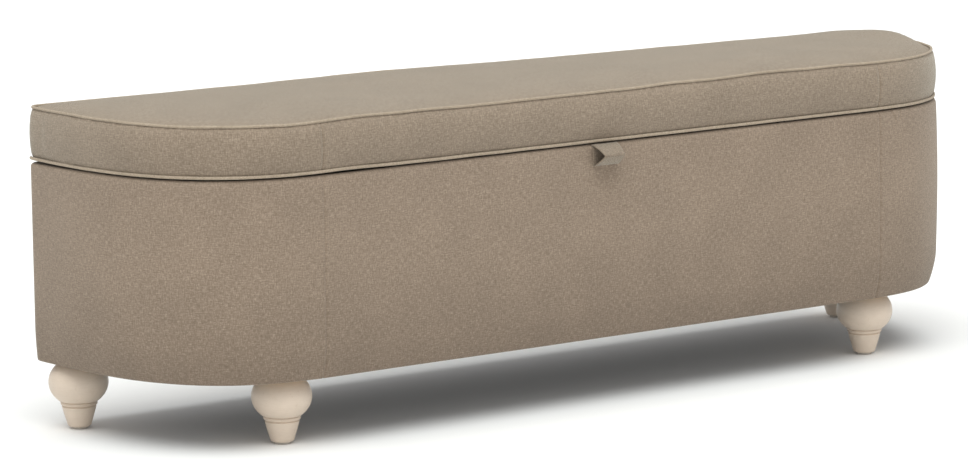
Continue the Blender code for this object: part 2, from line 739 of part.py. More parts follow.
def tab_corners():
    """Middle line of the ribbon about its root: root, tip, bottom fold, bend over the rim."""
    back = -TAB_INSET - TAB_STANDOFF
    line = [(0, 0), (-TAB_REACH, -TAB_DROP), (back, -TAB_HANG), (back, -TAB_BEND)]
    return [Vector(point) for point in line]


def ribbon_sides(corners, half):
    """Outer and inner outline of a closed ribbon, rounded outside its outward corners."""
    outer, inner = [], []
    for i, corner in enumerate(corners):
        before = corner - corners[i - 1]
        after = corners[(i + 1) % len(corners)] - corner
        start = atan2(-before.x, before.y)
        turn = atan2(before.cross(after), before.dot(after))
        mitre = Vector((cos(start + turn / 2), sin(start + turn / 2))) * half / cos(turn / 2)
        inner.append(tuple(corner - mitre))
        if turn > 0:
            angles = [start + turn * j / CORNER_STEPS for j in range(CORNER_STEPS + 1)]
            outer += [(corner.x + half * cos(t), corner.y + half * sin(t)) for t in angles]
        else:
            outer.append(tuple(corner + mitre))
    return outer, inner


def make_pull_tab():
    """Fabric loop under the lid's front edge, which swings up about its root."""
    root = (TAB_X, FRONT_Y + TAB_INSET, HINGE_Z)
    loops = ribbon_sides(tab_corners(), TAB_THICK / 2)
    return flat_piece("pull_tab", loops, TAB_WIDTH, SEAT_FABRIC, root, PLANE_YZ)


def hang_lid():
    """Parent what moves with the lid to an empty on the hinge axis."""
    axis = bpy.data.objects.new("lid_axis", None)
    PARTS.objects.link(axis)
    axis.location = (0, HINGE_Y, HINGE_Z)
    bpy.context.view_layer.update()
    starts = ("seat_", "lid_lining", "lid_panel", "lid_welt", "pull_tab")
    ends = ("_boxing", "_lid_leaf", "_lid_bracket")
    for piece in PARTS.objects:
        if piece.name.startswith(starts) or piece.name.endswith(ends):
            piece.parent = axis
            piece.matrix_parent_inverse = axis.matrix_world.inverted()


clear_scene()
PARTS = new_collection("storage_bench")
CUTTERS = new_collection("cutters")
BODY_FABRIC = make_material("body_fabric", (0.34, 0.28, 0.21), 0.9)
SEAT_FABRIC = make_material("seat_fabric", (0.37, 0.31, 0.23), 0.9)
WELT_FABRIC = make_material("welt_fabric", (0.40, 0.34, 0.26), 0.9)
LINING_FABRIC = make_material("lining_fabric", (0.30, 0.26, 0.21), 0.9)
DUST_CLOTH = make_material("dust_cloth", (0.03, 0.03, 0.03), 0.95)
FOAM = make_material("foam", (0.80, 0.76, 0.60), 0.9)
PLYWOOD = make_material("plywood", (0.55, 0.40, 0.25), 0.6)
LEG_PAINT = make_material("leg_paint", (0.72, 0.64, 0.53), 0.45)
STEEL = make_material("steel", (0.55, 0.55, 0.56), 0.35, 1.0)
RUBBER = make_material("rubber", (0.05, 0.05, 0.05), 0.8)
GLIDE_PLASTIC = make_material("glide_plastic", (0.06, 0.06, 0.06), 0.5)

make_carcass()
make_body_covers()
make_linings()
make_legs()
make_seat()
make_hinges()
make_bumpers()
make_stays()
make_pull_tab()
hang_lid()
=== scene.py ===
"""Looks of the upholstered storage bench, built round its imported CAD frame.

Every place comes from the frame's boxes or from the plan's few shape values below. The bench's plan
is a D: a straight back, a straight front and two full round ends. Units are metres.
"""
import json
from math import asin, cos, exp, pi, radians, sin

import bmesh
import bpy
import numpy as np
from mathutils import Matrix, Vector, noise
from mathutils.kdtree import KDTree


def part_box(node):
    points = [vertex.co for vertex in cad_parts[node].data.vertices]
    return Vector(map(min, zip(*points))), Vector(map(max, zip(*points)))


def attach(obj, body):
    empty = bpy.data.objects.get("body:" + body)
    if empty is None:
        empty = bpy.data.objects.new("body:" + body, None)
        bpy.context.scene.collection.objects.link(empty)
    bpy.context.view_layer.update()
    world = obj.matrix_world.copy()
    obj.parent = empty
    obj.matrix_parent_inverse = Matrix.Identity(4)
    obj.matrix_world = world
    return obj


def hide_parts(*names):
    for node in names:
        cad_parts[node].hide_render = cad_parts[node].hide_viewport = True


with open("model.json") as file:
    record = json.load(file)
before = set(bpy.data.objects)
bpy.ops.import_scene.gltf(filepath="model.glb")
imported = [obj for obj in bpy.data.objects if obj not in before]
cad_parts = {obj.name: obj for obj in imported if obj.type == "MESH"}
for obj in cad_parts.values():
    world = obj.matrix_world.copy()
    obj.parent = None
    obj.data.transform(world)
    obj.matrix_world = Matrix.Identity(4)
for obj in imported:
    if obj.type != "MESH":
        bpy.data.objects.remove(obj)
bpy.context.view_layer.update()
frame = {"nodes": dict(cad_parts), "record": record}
SIDES = {"left": -1, "right": 1}
LEG_PLACES = ("front_left", "front_right", "back_left", "back_right")


def low(node):
    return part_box(node)[0]


def high(node):
    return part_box(node)[1]


# Plan and heights, read from the frame
PAD = 0.0103  # plywood to the outside of the fabric
GAP = 0.0003  # between pieces that touch
END_POWER = 2.75  # fullness of the ends, where 2 would be an ellipse
FRONT = low("front_panel").y - PAD
BACK = high("back_panel").y + PAD
HALF = high("back_panel").x + PAD
FLAT = high("front_panel").x + GAP
DEPTH = BACK - FRONT
END = HALF - FLAT
FOOT = low("front_cover").z
RIM = high("front_cover").z
LID_LOW = low("front_boxing").z
SEAM = (low("seat_welt").z + high("seat_welt").z) / 2

# Body cover
BODY_CORNER = 0.023  # plan radius of the padding at the back corners
FRAME_CORNER = 0.010  # the same corner where the cover is glued to the board
BODY_WRAP = 0.030  # how far the cover runs round onto the back
WRAP_IN = 0.0244  # cover folded in over the rim and under the floor
WRAP = 0.002  # thickness of the folded-in cover
RIM_ROUND = 0.006
RIM_SWELL = 0.0023  # padding that rises over the front and end rims
FOOT_ROUND = 0.050  # height over which the skin draws in to the lower edge
FOOT_IN = 0.0094  # how far it draws in
FOOT_FOLD = 0.0022  # radius of the fold at the lower edge
BODY_SWELL = 0.0032  # how far the padding stands proud halfway up
END_SWELL = 0.0012  # a little more on the round ends
PLEAT_LONG = 0.026  # small V-shaped pleat under the rim, at the right end's start
PLEAT_LEAN = 0.011  # half the width of its open top
PLEAT_DEPTH = 0.0022
PLEAT_WIDTH = 0.0018
PLEAT_PAST = 0.040  # from the right seam toward the back
SEAM_PAST = 0.035  # the upright seams lie a little past the straight front
SEAM_DEPTH = 0.0020
SEAM_WIDTH = 0.0020

# Lid
LID_STEP = 0.006  # the lid's edge stands this far inside the body's
LID_BACK_STEP = 0.001  # and this far at the back
LID_CORNER = 0.016
LID_BOTTOM = LID_LOW + 0.0013  # the cover's underside, above the black cloth
SEAM_LIFT = 0.0012  # the filled cushion carries its upper seam up
END_LIFT = 0.0045  # and more at the full right end
SEAM_IN = 0.0025  # upper piping, inside the lid's outline
WELT = (high("lid_welt").z - low("lid_welt").z) / 2
WELT_STEP = 0.0045  # spacing of the piping's sections
LOWER_WELT_OUT = 0.0029
SEAT_START = 0.0045  # crown before the cushion is filled
SEAT_PLUMP = 0.0045  # rise of the seat close inside its seam, beyond the filling
SIDE_PLUMP = 0.0068  # swell of the boxing beyond the filling
SEAT_CAP = 0.0120  # how far filling may lift the seat
SIDE_CAP = 0.0070  # how far filling may push the boxing out
FULL_END = 0.0120  # extra filling toward the right end of the seat
FULL_X = HALF - 0.045  # middle of that filling
FULL_Y = BACK - 0.17
VOXEL = 0.006
HOLD_REACH = 0.010  # the seams' hold on the cover fades over about this reach
BOX_CUTS = (0.0008, 0.0018, 0.0035, 0.006)  # cuts beside each upright seam of the boxing
BOX_SEAM_DEPTH = 0.0018

# Fabric
THREAD = 0.00078  # pitch of the weave
SLUB_STRETCH = 120.0  # slubs per metre along a thread
SLUB_WIDTH = 0.42  # slubs per thread across the threads
TONE_REACH = 0.20  # spread of the yarn's shade round its middle
BODY_CLOTH = ((0.150, 0.108, 0.075), (0.276, 0.211, 0.157), (0.490, 0.395, 0.310))
# The body's cloth a few percent lighter and greener: painted light for the lit seat top, carried
# onto the boxing too.
SEAT_CLOTH = ((0.152, 0.112, 0.078), (0.280, 0.218, 0.161), (0.494, 0.404, 0.316))
# The cover's own cloth in much lighter tones: a painted highlight on the piping cords, also lent to
# the pull tab's stitches.
LIT_WELT_CLOTH = ((0.230, 0.175, 0.124), (0.400, 0.325, 0.243), (0.600, 0.505, 0.400))

# Pull tab
TAB_TAPER = 0.24  # how much it narrows at its folded tip
TAB_THICK = 0.0022
TAB_DROP = 0.0135  # height from its root down to its tip
STITCH_IN = 0.004  # from the ribbon's edges to the stitches
STITCH_SIZE = (0.0017, 0.0006, 0.0005)

# Legs
LEG_RISE = 0.039  # half the height of the bun, were it whole
LEG_NECK = 0.0300  # radii down the leg
LEG_COLLAR = 0.0285
LEG_TAPER = 0.0268
LEG_SOLE = 0.0188
LEG_GROOVE = 0.0016
COLLAR_DROP = 0.062  # from the leg's top to its collar
COLLAR_HEIGHT = 0.0065
SOLE_ROUND = 0.0045
BOLT_BORE = (0.0043, 0.0347)  # radius and depth

# Linings and fittings
CLOTH_CELL = 0.012
PLATE_HOLE = 0.052  # radius of the holes round the legs in the dust cloth
STAPLE_IN = 0.009
STAPLE_SIZE = (0.0100, 0.0012, 0.0005)
BRACKET_SIDE = 0.009  # from a bracket's middle to its screws
SCREW_SINK = 0.0013

# Camera
CAMERA_AT = (-4.21, FRONT - 5.57, 1.42)
CAMERA_YAW = radians(35.4)
CAMERA_PITCH = radians(9.37)
CAMERA_ROLL = radians(-0.64)
LENS = 167.36
SENSOR = 36.0


# ---------------------------------------------------------------- plan

def end_curve(step, corner, count=240):
    """The right end from the back face to the straight front, with a round back corner."""
    points = []
    back = BACK - step
    for i in range(9):
        turn = pi / 2 * (1 - i / 8)
        x = HALF - step - corner + corner * cos(turn)
        points.append((x, back - corner + corner * sin(turn)))
    first = asin(min(1.0, ((step + corner) / DEPTH) ** (END_POWER / 2)))
    for i in range(1, count + 1):
        angle = first + (pi / 2 - first) * i / count
        across, along = max(0.0, cos(angle)) ** (2 / END_POWER), sin(angle) ** (2 / END_POWER)
        normal = np.array((across ** (END_POWER - 1) / END, along ** (END_POWER - 1) / DEPTH))
        normal /= np.linalg.norm(normal)
        x, y = FLAT + END * across - step * normal[0], BACK - DEPTH * along + step * normal[1]
        if y < points[-1][1]:
            points.append((x, y))
    return np.array(points)


def d_line(step=0.0, corner=BODY_CORNER, back_step=0.0):
    """Closed D outline, clockwise from the middle of the back: dense points."""
    right = end_curve(step, corner)
    shift = np.clip((right[:, 1] - (BACK - step - 2 * corner)) / (2 * corner), 0, 1)
    right[:, 1] += (step - back_step) * shift
    left = right[::-1] * (-1, 1)
    middle = np.array([(0.0, right[0, 1])])
    return np.concatenate([middle, right, left, middle])


def measured(points):
    """Distance along a line of points, at each of them."""
    steps = np.linalg.norm(np.diff(points, axis=0), axis=1)
    return np.concatenate([[0.0], np.cumsum(steps)])


def walk(points, at):
    """Places and outward normals of a clockwise plan line at the given distances along it."""
    along = measured(points)
    place = np.stack([np.interp(at, along, points[:, k]) for k in (0, 1)], 1)
    reach = 0.002
    ahead = np.stack([np.interp(at + reach, along, points[:, k]) for k in (0, 1)], 1)
    behind = np.stack([np.interp(at - reach, along, points[:, k]) for k in (0, 1)], 1)
    tangent = ahead - behind
    tangent /= np.linalg.norm(tangent, axis=1)[:, None]
    return place, np.stack([-tangent[:, 1], tangent[:, 0]], 1)


def stations(start, end, spacing, fine_at=(), fine_reach=0.008, fine_step=0.001):
    """Distances from start to end at a spacing, closer together round the given places."""
    count = int(round((end - start) / spacing))
    found = set(np.round(np.linspace(start, end, count + 1), 5))
    for place in fine_at:
        found |= set(np.round(np.arange(place - fine_reach, place + fine_reach, fine_step), 5))
    kept = []
    for value in sorted(v for v in found if start <= v <= end):
        if not kept or value - kept[-1] > fine_step * 0.6:
            kept.append(value)
    return np.array(kept)


def arc(center, radius, first, last, steps):
    turns = [first + (last - first) * i / steps for i in range(steps + 1)]
    return [(center[0] + radius * cos(t), center[1] + radius * sin(t)) for t in turns]


def bump(value, center, width):
    return exp(-(((value - center) / width) ** 2))


def wave(point, scale, seed=0.0):
    """Smooth noise between about -1 and 1 that varies over a length of scale metres."""
    return noise.noise(Vector(point) / scale + Vector((seed, seed * 0.7, -seed)))


# ---------------------------------------------------------------- meshes

def link_mesh(name, mesh, material, sharp=None):
    """Shows a mesh, smooth apart from the edges sharper than the given angle."""
    obj = bpy.data.objects.new(name, mesh)
    bpy.context.scene.collection.objects.link(obj)
    mesh.materials.append(material)
    mesh.shade_smooth()
    if sharp is not None:
        mesh.set_sharp_from_angle(angle=sharp)
    return obj


def link_bmesh(name, bm, material, sharp=None):
    """Shows a closed mesh under construction, its faces turned outwards."""
    bmesh.ops.recalc_face_normals(bm, faces=bm.faces)
    mesh = bpy.data.meshes.new(name)
    bm.to_mesh(mesh)
    bm.free()
    return link_mesh(name, mesh, material, sharp)


def make_object(name, vertices, faces, material, cloth=None, sharp=None):
    """A mesh object; cloth is each face corner's place on its flat cloth, in metres."""
    mesh = bpy.data.meshes.new(name)
    mesh.from_pydata([tuple(v) for v in vertices], [], [tuple(f) for f in faces])
    mesh.validate()
    if cloth is not None:
        lay_cloth(mesh, cloth)
    return link_mesh(name, mesh, material, sharp)


def lay_cloth(mesh, cloth):
    attribute = mesh.attributes.new("cloth", "FLOAT_VECTOR", "CORNER")
    attribute.data.foreach_set("vector", np.asarray(cloth, np.float32).ravel())


def face_outwards(obj):
    bm = bmesh.new()
    bm.from_mesh(obj.data)
    bmesh.ops.recalc_face_normals(bm, faces=bm.faces)
    bm.to_mesh(obj.data)
    bm.free()
    obj.data.shade_smooth()
    return obj


def loft(name, rows, material, closed=False, twist=0.0, sharp=None):
    """Skin over closed sections (stations, corners, 3). Open lofts get flat ends."""
    rows = np.asarray(rows, float)
    count, corners = rows.shape[:2]
    centers = rows.mean(1)
    ring = np.concatenate([centers, centers[:1]]) if closed else centers
    along = measured(ring)
    first = rows[0]
    across = measured(np.concatenate([first, first[:1]]))
    faces, cloth = [], []
    slant_u, slant_v = cos(twist), sin(twist)
    for i in range(count if closed else count - 1):
        after = (i + 1) % count
        for j in range(corners):
            beside = (j + 1) % corners
            own, further = i * corners, after * corners
            faces.append((own + j, own + beside, further + beside, further + j))
            for u, v in ((i, j), (i, j + 1), (i + 1, j + 1), (i + 1, j)):
                a, b = along[u], across[v]
                cloth.append((a * slant_u - b * slant_v, a * slant_v + b * slant_u, 0.0))
    if not closed:
        for start, row in ((0, rows[0]), ((count - 1) * corners, rows[-1])):
            faces.append(tuple(range(start, start + corners)))
            cloth += [(p[0] + p[1], p[2], 0.0) for p in row]
    obj = make_object(name, rows.reshape(-1, 3), faces, material, cloth, sharp)
    return face_outwards(obj)


def tube(name, line, radius, material, closed=False, sides=12, twist=radians(45)):
    """A round cord along a line of points, its cloth cut on the bias."""
    line = np.asarray(line, float)
    if closed:
        ahead, behind = np.roll(line, -1, 0), np.roll(line, 1, 0)
    else:
        ahead = np.concatenate([line[1:], line[-1:]])
        behind = np.concatenate([line[:1], line[:-1]])
    tangent = ahead - behind
    tangent /= np.linalg.norm(tangent, axis=1)[:, None]
    up = np.array((0.0, 0.0, 1.0))
    side = np.cross(tangent, up)
    side /= np.linalg.norm(side, axis=1)[:, None]
    rise = np.cross(side, tangent)
    rows = []
    for place, across, above in zip(line, side, rise):
        turns = [2 * pi * k / sides for k in range(sides)]
        rows.append([place + radius * (cos(t) * across + sin(t) * above) for t in turns])
    return loft(name, rows, material, closed, twist)


def lathe(name, profile, place, material, steps=96, sharp=radians(35)):
    """A turned piece about a vertical axis, its profile running from the axis to the axis."""
    bm = bmesh.new()
    rings = []
    for radius, height in profile:
        if radius < 1e-6:
            rings.append([bm.verts.new((place[0], place[1], height))])
            continue
        turns = [2 * pi * k / steps for k in range(steps)]
        rings.append([
            bm.verts.new((place[0] + radius * cos(t), place[1] + radius * sin(t), height))
            for t in turns
        ])
    for upper, lower in zip(rings, rings[1:]):
        for k in range(steps):
            nxt = (k + 1) % steps
            if len(upper) == 1:
                bm.faces.new((upper[0], lower[nxt], lower[k]))
            elif len(lower) == 1:
                bm.faces.new((upper[k], upper[nxt], lower[0]))
            else:
                bm.faces.new((upper[k], upper[nxt], lower[nxt], lower[k]))
    return link_bmesh(name, bm, material, sharp)


def beads(name, places, size, material):
    """Small rounded bars such as stitches, staples or screw slots: (middle, along, up) for each."""
    bm = bmesh.new()
    scale = Matrix.Diagonal((*size, 1))
    for middle, along, up in places:
        along, up = Vector(along).normalized(), Vector(up).normalized()
        side = along.cross(up).normalized()
        turn = Matrix((along, side, along.cross(side) * -1)).transposed().to_4x4()
        made = bmesh.ops.create_cube(bm, size=1.0)["verts"]
        bmesh.ops.transform(bm, matrix=Matrix.Translation(middle) @ turn @ scale, verts=made)
    bmesh.ops.bevel(
        bm, geom=list(bm.edges), offset=min(size) * 0.42, segments=2, affect="EDGES", profile=0.5
    )
    return link_bmesh(name, bm, material)


def finish_piece(obj, body, slot, *nodes):
    """Puts a piece on its body and hides the CAD nodes it stands for."""
    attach(obj, body)
    if nodes:
        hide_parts(*nodes)
    return obj


# ---------------------------------------------------------------- materials

class Graph:
    """A material's nodes, added one after another and linked as they are made."""

    def __init__(self, name):
        self.material = bpy.data.materials.new(name)
        self.material.use_nodes = True
        self.nodes = self.material.node_tree.nodes
        self.links = self.material.node_tree.links
        self.shader = self.nodes["Principled BSDF"]

    def put(self, socket, value):
        if isinstance(value, bpy.types.NodeSocket):
            self.links.new(value, socket)
        elif isinstance(value, (tuple, list)) and len(value) == 3 and socket.type == "RGBA":
            socket.default_value = (*value, 1.0)
        else:
            socket.default_value = value

    def add(self, kind, inputs, output=0, **settings):
        node = self.nodes.new("ShaderNode" + kind)
        for name, value in settings.items():
            setattr(node, name, value)
        for name, value in inputs.items():
            self.put(node.inputs[name], value)
        return node.outputs[output]

    def math(self, operation, first, second=0.0, clamp=False):
        return self.add("Math", {0: first, 1: second}, operation=operation, use_clamp=clamp)

    def times(self, first, second):
        return self.math("MULTIPLY", first, second)

    def plus(self, first, second, clamp=False):
        return self.math("ADD", first, second, clamp)

    def split(self, place):
        """The three numbers of a vector."""
        node = self.nodes.new("ShaderNodeSeparateXYZ")
        self.put(node.inputs[0], place)
        return node.outputs

    def stretched(self, place, factors):
        """A vector scaled by its own factor along each axis."""
        parts = self.split(place)
        return self.vector(*(self.times(parts[k], factors[k]) for k in range(3)))

    def spread(self, value, low_value, high_value):
        """Maps low..high to 0..1, held at both ends."""
        return self.add("MapRange", {"Value": value, "From Min": low_value, "From Max": high_value})

    def between(self, factor, first, second):
        inputs = {0: factor, 2: first, 3: second}
        return self.add("Mix", inputs, data_type="FLOAT")

    def tint(self, factor, first, second, blend="MIX"):
        node = self.nodes.new("ShaderNodeMix")
        node.data_type = "RGBA"
        node.blend_type = blend
        for index, value in ((0, factor), (6, first), (7, second)):
            self.put(node.inputs[index], value)
        return node.outputs[2]

    def vector(self, x, y, z=0.0):
        return self.add("CombineXYZ", {0: x, 1: y, 2: z})

    def noise(self, place, scale, detail=2.0, rough=0.5, distortion=0.0):
        inputs = {"Vector": place, "Scale": scale, "Detail": detail, "Roughness": rough,
                  "Distortion": distortion}
        return self.add("TexNoise", inputs)

    def object_place(self):
        return self.add("TexCoord", {}, output=3)

    def set(self, **values):
        for name, value in values.items():
            self.put(self.shader.inputs[name.replace("_", " ")], value)

    def bump(self, height, distance, strength=1.0, normal=None):
        inputs = {"Height": height, "Distance": distance, "Strength": strength}
        if normal is not None:
            inputs["Normal"] = normal
        return self.add("Bump", inputs)


def toned(color, factors):
    """A colour with each part scaled, by one factor or by its own."""
    factors = factors if isinstance(factors, tuple) else (factors,) * 3
    return tuple(min(1.0, part * factor) for part, factor in zip(color, factors))


def woven(name, tones, thread=THREAD, sheen=0.25, fleck=1.0, painted_low_shade=None,
          sheen_tint=(0.93, 0.88, 0.80)):
    """Plain weave of heathered yarn on the cloth attribute, with slubs and soft mottling, and
    painted shade toward the lower edge when asked.
    """
    g = Graph(name)
    place = g.add("Attribute", {}, output=1, attribute_name="cloth")
    flat = g.split(place)
    drift = g.times(g.math("SUBTRACT", g.noise(place, 90.0, 2.0), 0.5), 0.9)
    across, along = [g.plus(g.times(flat[k], 1 / thread), drift) for k in (0, 1)]
    sides = [g.math("SINE", g.times(value, pi)) for value in (across, along)]
    over = g.plus(g.times(g.times(sides[0], sides[1]), 1.4), 0.5, clamp=True)
    ridge = [g.math("ABSOLUTE", value) for value in sides]
    heights = []
    for own, other in ((ridge[1], ridge[0]), (ridge[0], ridge[1])):
        heights.append(g.times(own, g.plus(g.times(other, 0.45), 0.55)))
    height = g.between(over, heights[0], heights[1])
    long = [g.times(flat[k], SLUB_STRETCH) for k in (0, 1)]
    thick = [g.times(value, SLUB_WIDTH) for value in (across, along)]
    weft = g.noise(g.vector(long[0], thick[1], 5.0), 1.0, 3.0, 0.7)
    warp = g.noise(g.vector(thick[0], long[1], 9.0), 1.0, 3.0, 0.7)
    yarn = g.between(over, weft, warp)
    both = g.times(g.plus(weft, warp), 0.5)
    flecks = g.noise(place, 480.0, 3.0, 0.7)
    mottle = g.noise(g.object_place(), 14.0, 4.0, 0.55)
    tone = g.plus(g.times(both, 0.62), g.times(yarn, 0.16))
    tone = g.plus(tone, g.times(flecks, 0.22 * fleck))
    middle = 0.5 - 0.11 * (1 - fleck)
    tone = g.spread(tone, middle - TONE_REACH, middle + TONE_REACH)
    dark_half = g.tint(g.spread(tone, 0.0, 0.5), tones[0], tones[1])
    color = g.tint(g.spread(tone, 0.5, 1.0), dark_half, tones[2])
    shade = g.between(height, 0.80, 1.06)
    shade = g.times(shade, g.between(g.spread(mottle, 0.3, 0.7), 0.95, 1.05))
    # Painted shade: the colour darkens toward the lower edge, from 1.03 above end down to least at
    # start.
    if painted_low_shade:
        start, end, least = painted_low_shade
        lower = g.spread(g.split(g.object_place())[2], start, end)
        shade = g.times(shade, g.between(lower, least, 1.03))
    color = g.tint(1.0, color, g.vector(shade, shade, shade), blend="MULTIPLY")
    fuzz = g.noise(place, 2600.0, 2.0)
    relief = g.plus(height, g.times(fuzz, 0.35))
    g.set(Base_Color=color, Roughness=g.between(yarn, 0.82, 0.95), Sheen_Weight=sheen,
          Sheen_Roughness=0.45, Sheen_Tint=sheen_tint, Specular_IOR_Level=0.25,
          Normal=g.bump(relief, thread * 0.35, 0.55))
    return g.material


def painted(name, color):
    """Hand-rubbed cream paint: faint brush drag, darker in the turned grooves."""
    g = Graph(name)
    place = g.object_place()
    drag = g.noise(g.stretched(place, (60.0, 60.0, 900.0)), 1.0, 3.0, 0.6)
    cloud = g.noise(place, 38.0, 4.0, 0.6)
    rub = g.spread(g.noise(place, 160.0, 4.0, 0.7), 0.60, 0.74)
    base = g.tint(cloud, toned(color, 0.90), toned(color, 1.07))
    glaze = toned(color, (0.74, 0.66, 0.56))
    base = g.tint(g.times(rub, 0.35), base, glaze)
    collar = high("leg_front_left").z - COLLAR_DROP - 0.0035
    groove = g.math("ABSOLUTE", g.math("SUBTRACT", g.split(place)[2], collar))
    groove = g.spread(groove, 0.0062, 0.0030)
    base = g.tint(g.times(groove, 0.15), base, glaze)
    base = g.tint(g.times(g.spread(drag, 0.52, 0.75), 0.22), base, glaze)
    g.set(Base_Color=base, Roughness=g.between(drag, 0.36, 0.52), Specular_IOR_Level=0.45,
          Coat_Weight=0.12, Coat_Roughness=0.35, Normal=g.bump(drag, 0.0002, 0.35))
    return g.material


def plywood(name, color):
    """Birch ply: long grain with fine pores."""
    g = Graph(name)
    long = g.stretched(g.object_place(), (3.0, 40.0, 40.0))
    grain = g.noise(long, 1.0, 5.0, 0.6, 1.2)
    pores = g.spread(g.noise(long, 14.0, 3.0, 0.7), 0.62, 0.75)
    base = g.tint(grain, toned(color, 0.78), toned(color, 1.18))
    base = g.tint(g.times(pores, 0.4), base, toned(color, 0.5))
    g.set(Base_Color=base, Roughness=g.between(grain, 0.55, 0.72),
          Normal=g.bump(grain, 0.0003, 0.4))
    return g.material


def steel(name, color):
    """Zinc-plated steel with a fine brushed grain, scuffs and dull patches."""
    g = Graph(name)
    place = g.object_place()
    lines = g.noise(g.stretched(place, (60.0, 2200.0, 2200.0)), 1.0, 2.0)
    patch = g.noise(place, 75.0, 4.0, 0.65)
    scuff = g.spread(g.noise(place, 420.0, 4.0, 0.75), 0.63, 0.72)
    base = g.tint(patch, toned(color, 0.72), color)
    base = g.tint(g.times(scuff, 0.4), base, (0.24, 0.22, 0.20))
    rough = g.plus(g.between(patch, 0.26, 0.46), g.times(lines, 0.10))
    g.set(Base_Color=base, Metallic=1.0, Roughness=rough, Normal=g.bump(lines, 0.00008, 0.4))
    return g.material


def moulded(name, color, rough, grain=900.0):
    """Moulded rubber or plastic with a fine spark-eroded grain and dust in it."""
    g = Graph(name)
    place = g.object_place()
    cells = g.add("TexVoronoi", {"Vector": place, "Scale": grain})
    dust = g.spread(g.noise(place, 130.0, 4.0, 0.6), 0.5, 0.8)
    base = g.tint(g.times(dust, 0.3), color, tuple(c + 0.06 for c in color))
    g.set(Base_Color=base, Roughness=g.between(dust, rough, min(1.0, rough + 0.2)),
          Normal=g.bump(cells, 0.0001, 0.4))
    return g.material


def bonded(name, color):
    """Spun-bonded black cloth: embossed dots, loose fibres and a little lint."""
    g = Graph(name)
    place = g.add("Attribute", {}, output=1, attribute_name="cloth")
    dots = g.add("TexVoronoi", {"Vector": place, "Scale": 700.0, "Randomness": 0.15})
    dot = g.spread(dots, 0.32, 0.18)
    fibres = g.noise(place, 1500.0, 3.0, 0.7, 1.5)
    lint = g.spread(g.noise(place, 60.0, 5.0, 0.7), 0.60, 0.80)
    base = g.tint(fibres, toned(color, 0.5), toned(color, 1.9))
    base = g.tint(g.times(dot, 0.5), base, toned(color, 0.45))
    base = g.tint(g.times(lint, 0.18), base, (0.22, 0.20, 0.18))
    relief = g.math("SUBTRACT", g.times(fibres, 0.5), dot)
    g.set(Base_Color=base, Roughness=g.between(dot, 0.88, 0.6), Sheen_Weight=0.15,
          Normal=g.bump(relief, 0.00015, 0.5))
    return g.material


def foamed(name, color):
    """Open-cell foam: pores of two sizes, yellowed in patches."""
    g = Graph(name)
    place = g.object_place()
    pores = g.add("TexVoronoi", {"Vector": place, "Scale": 850.0})
    aged = g.noise(place, 12.0, 4.0)
    base = g.tint(aged, color, toned(color, (0.96, 0.88, 0.72)))
    base = g.tint(g.spread(pores, 0.25, 0.05), base, toned(color, 0.6))
    g.set(Base_Color=base, Roughness=g.between(aged, 0.88, 0.97),
          Normal=g.bump(pores, 0.0004, 0.6))
    return g.material


def floor_paint(name):
    """Matt pale sweep with a trace of unevenness."""
    g = Graph(name)
    cloud = g.noise(g.object_place(), 1.3, 3.0)
    g.set(Base_Color=g.tint(cloud, (0.90, 0.90, 0.895), (0.93, 0.93, 0.925)), Roughness=0.9,
          Specular_IOR_Level=0.1)
    return g.material


# Painted shade toward the lower edge of the body and of the lid's boxing.
BODY_FABRIC = woven("body_weave", BODY_CLOTH, painted_low_shade=(FOOT, FOOT + 0.17, 0.80))
SEAT_FABRIC = woven("seat_weave", SEAT_CLOTH, sheen=0.42, painted_low_shade=(LID_LOW, SEAM, 0.90),
                    sheen_tint=(0.91, 0.93, 0.86))
# Piping cloth: the cover's weave with a painted highlight in its lighter tones.
LIT_WELT_FABRIC = woven("lit_welt_weave", LIT_WELT_CLOTH, fleck=0.6)
LINING_FABRIC = woven("lining_weave", ((0.20, 0.17, 0.13), (0.30, 0.26, 0.20), (0.42, 0.37, 0.30)),
                      thread=0.00050, sheen=0.1, fleck=0.4)
THREAD_CLOTH = woven("sewing_thread", LIT_WELT_CLOTH, thread=0.00030, fleck=0.2)
BLACK_CLOTH = bonded("black_cloth", (0.022, 0.021, 0.020))
LEG_PAINT = painted("cream_paint", (0.68, 0.57, 0.465))
PLYWOOD = plywood("birch_ply", (0.62, 0.47, 0.30))
STEEL = steel("zinc_steel", (0.60, 0.60, 0.61))
RUBBER = moulded("rubber", (0.035, 0.034, 0.033), 0.7)
PLASTIC = moulded("glide_plastic", (0.56, 0.52, 0.46), 0.5)
FOAM = foamed("cushion_foam", (0.80, 0.74, 0.55))


def dress_frame():
    """Gives each CAD node the procedural material of its slot."""
    looks = {
        "plywood": PLYWOOD, "steel": STEEL, "rubber": RUBBER, "glide_plastic": PLASTIC,
        "foam": FOAM, "leg_paint": LEG_PAINT, "body_fabric": BODY_FABRIC,
        "seat_fabric": SEAT_FABRIC, "welt_fabric": LIT_WELT_FABRIC,
        "lining_fabric": LINING_FABRIC, "dust_cloth": BLACK_CLOTH,
    }
    slots = {part["node"]: part["material_slot"] for part in frame["record"]["subparts"]}
    for name, node in frame["nodes"].items():
        for place in node.material_slots:
            place.material = looks[slots[name]]


# ---------------------------------------------------------------- body

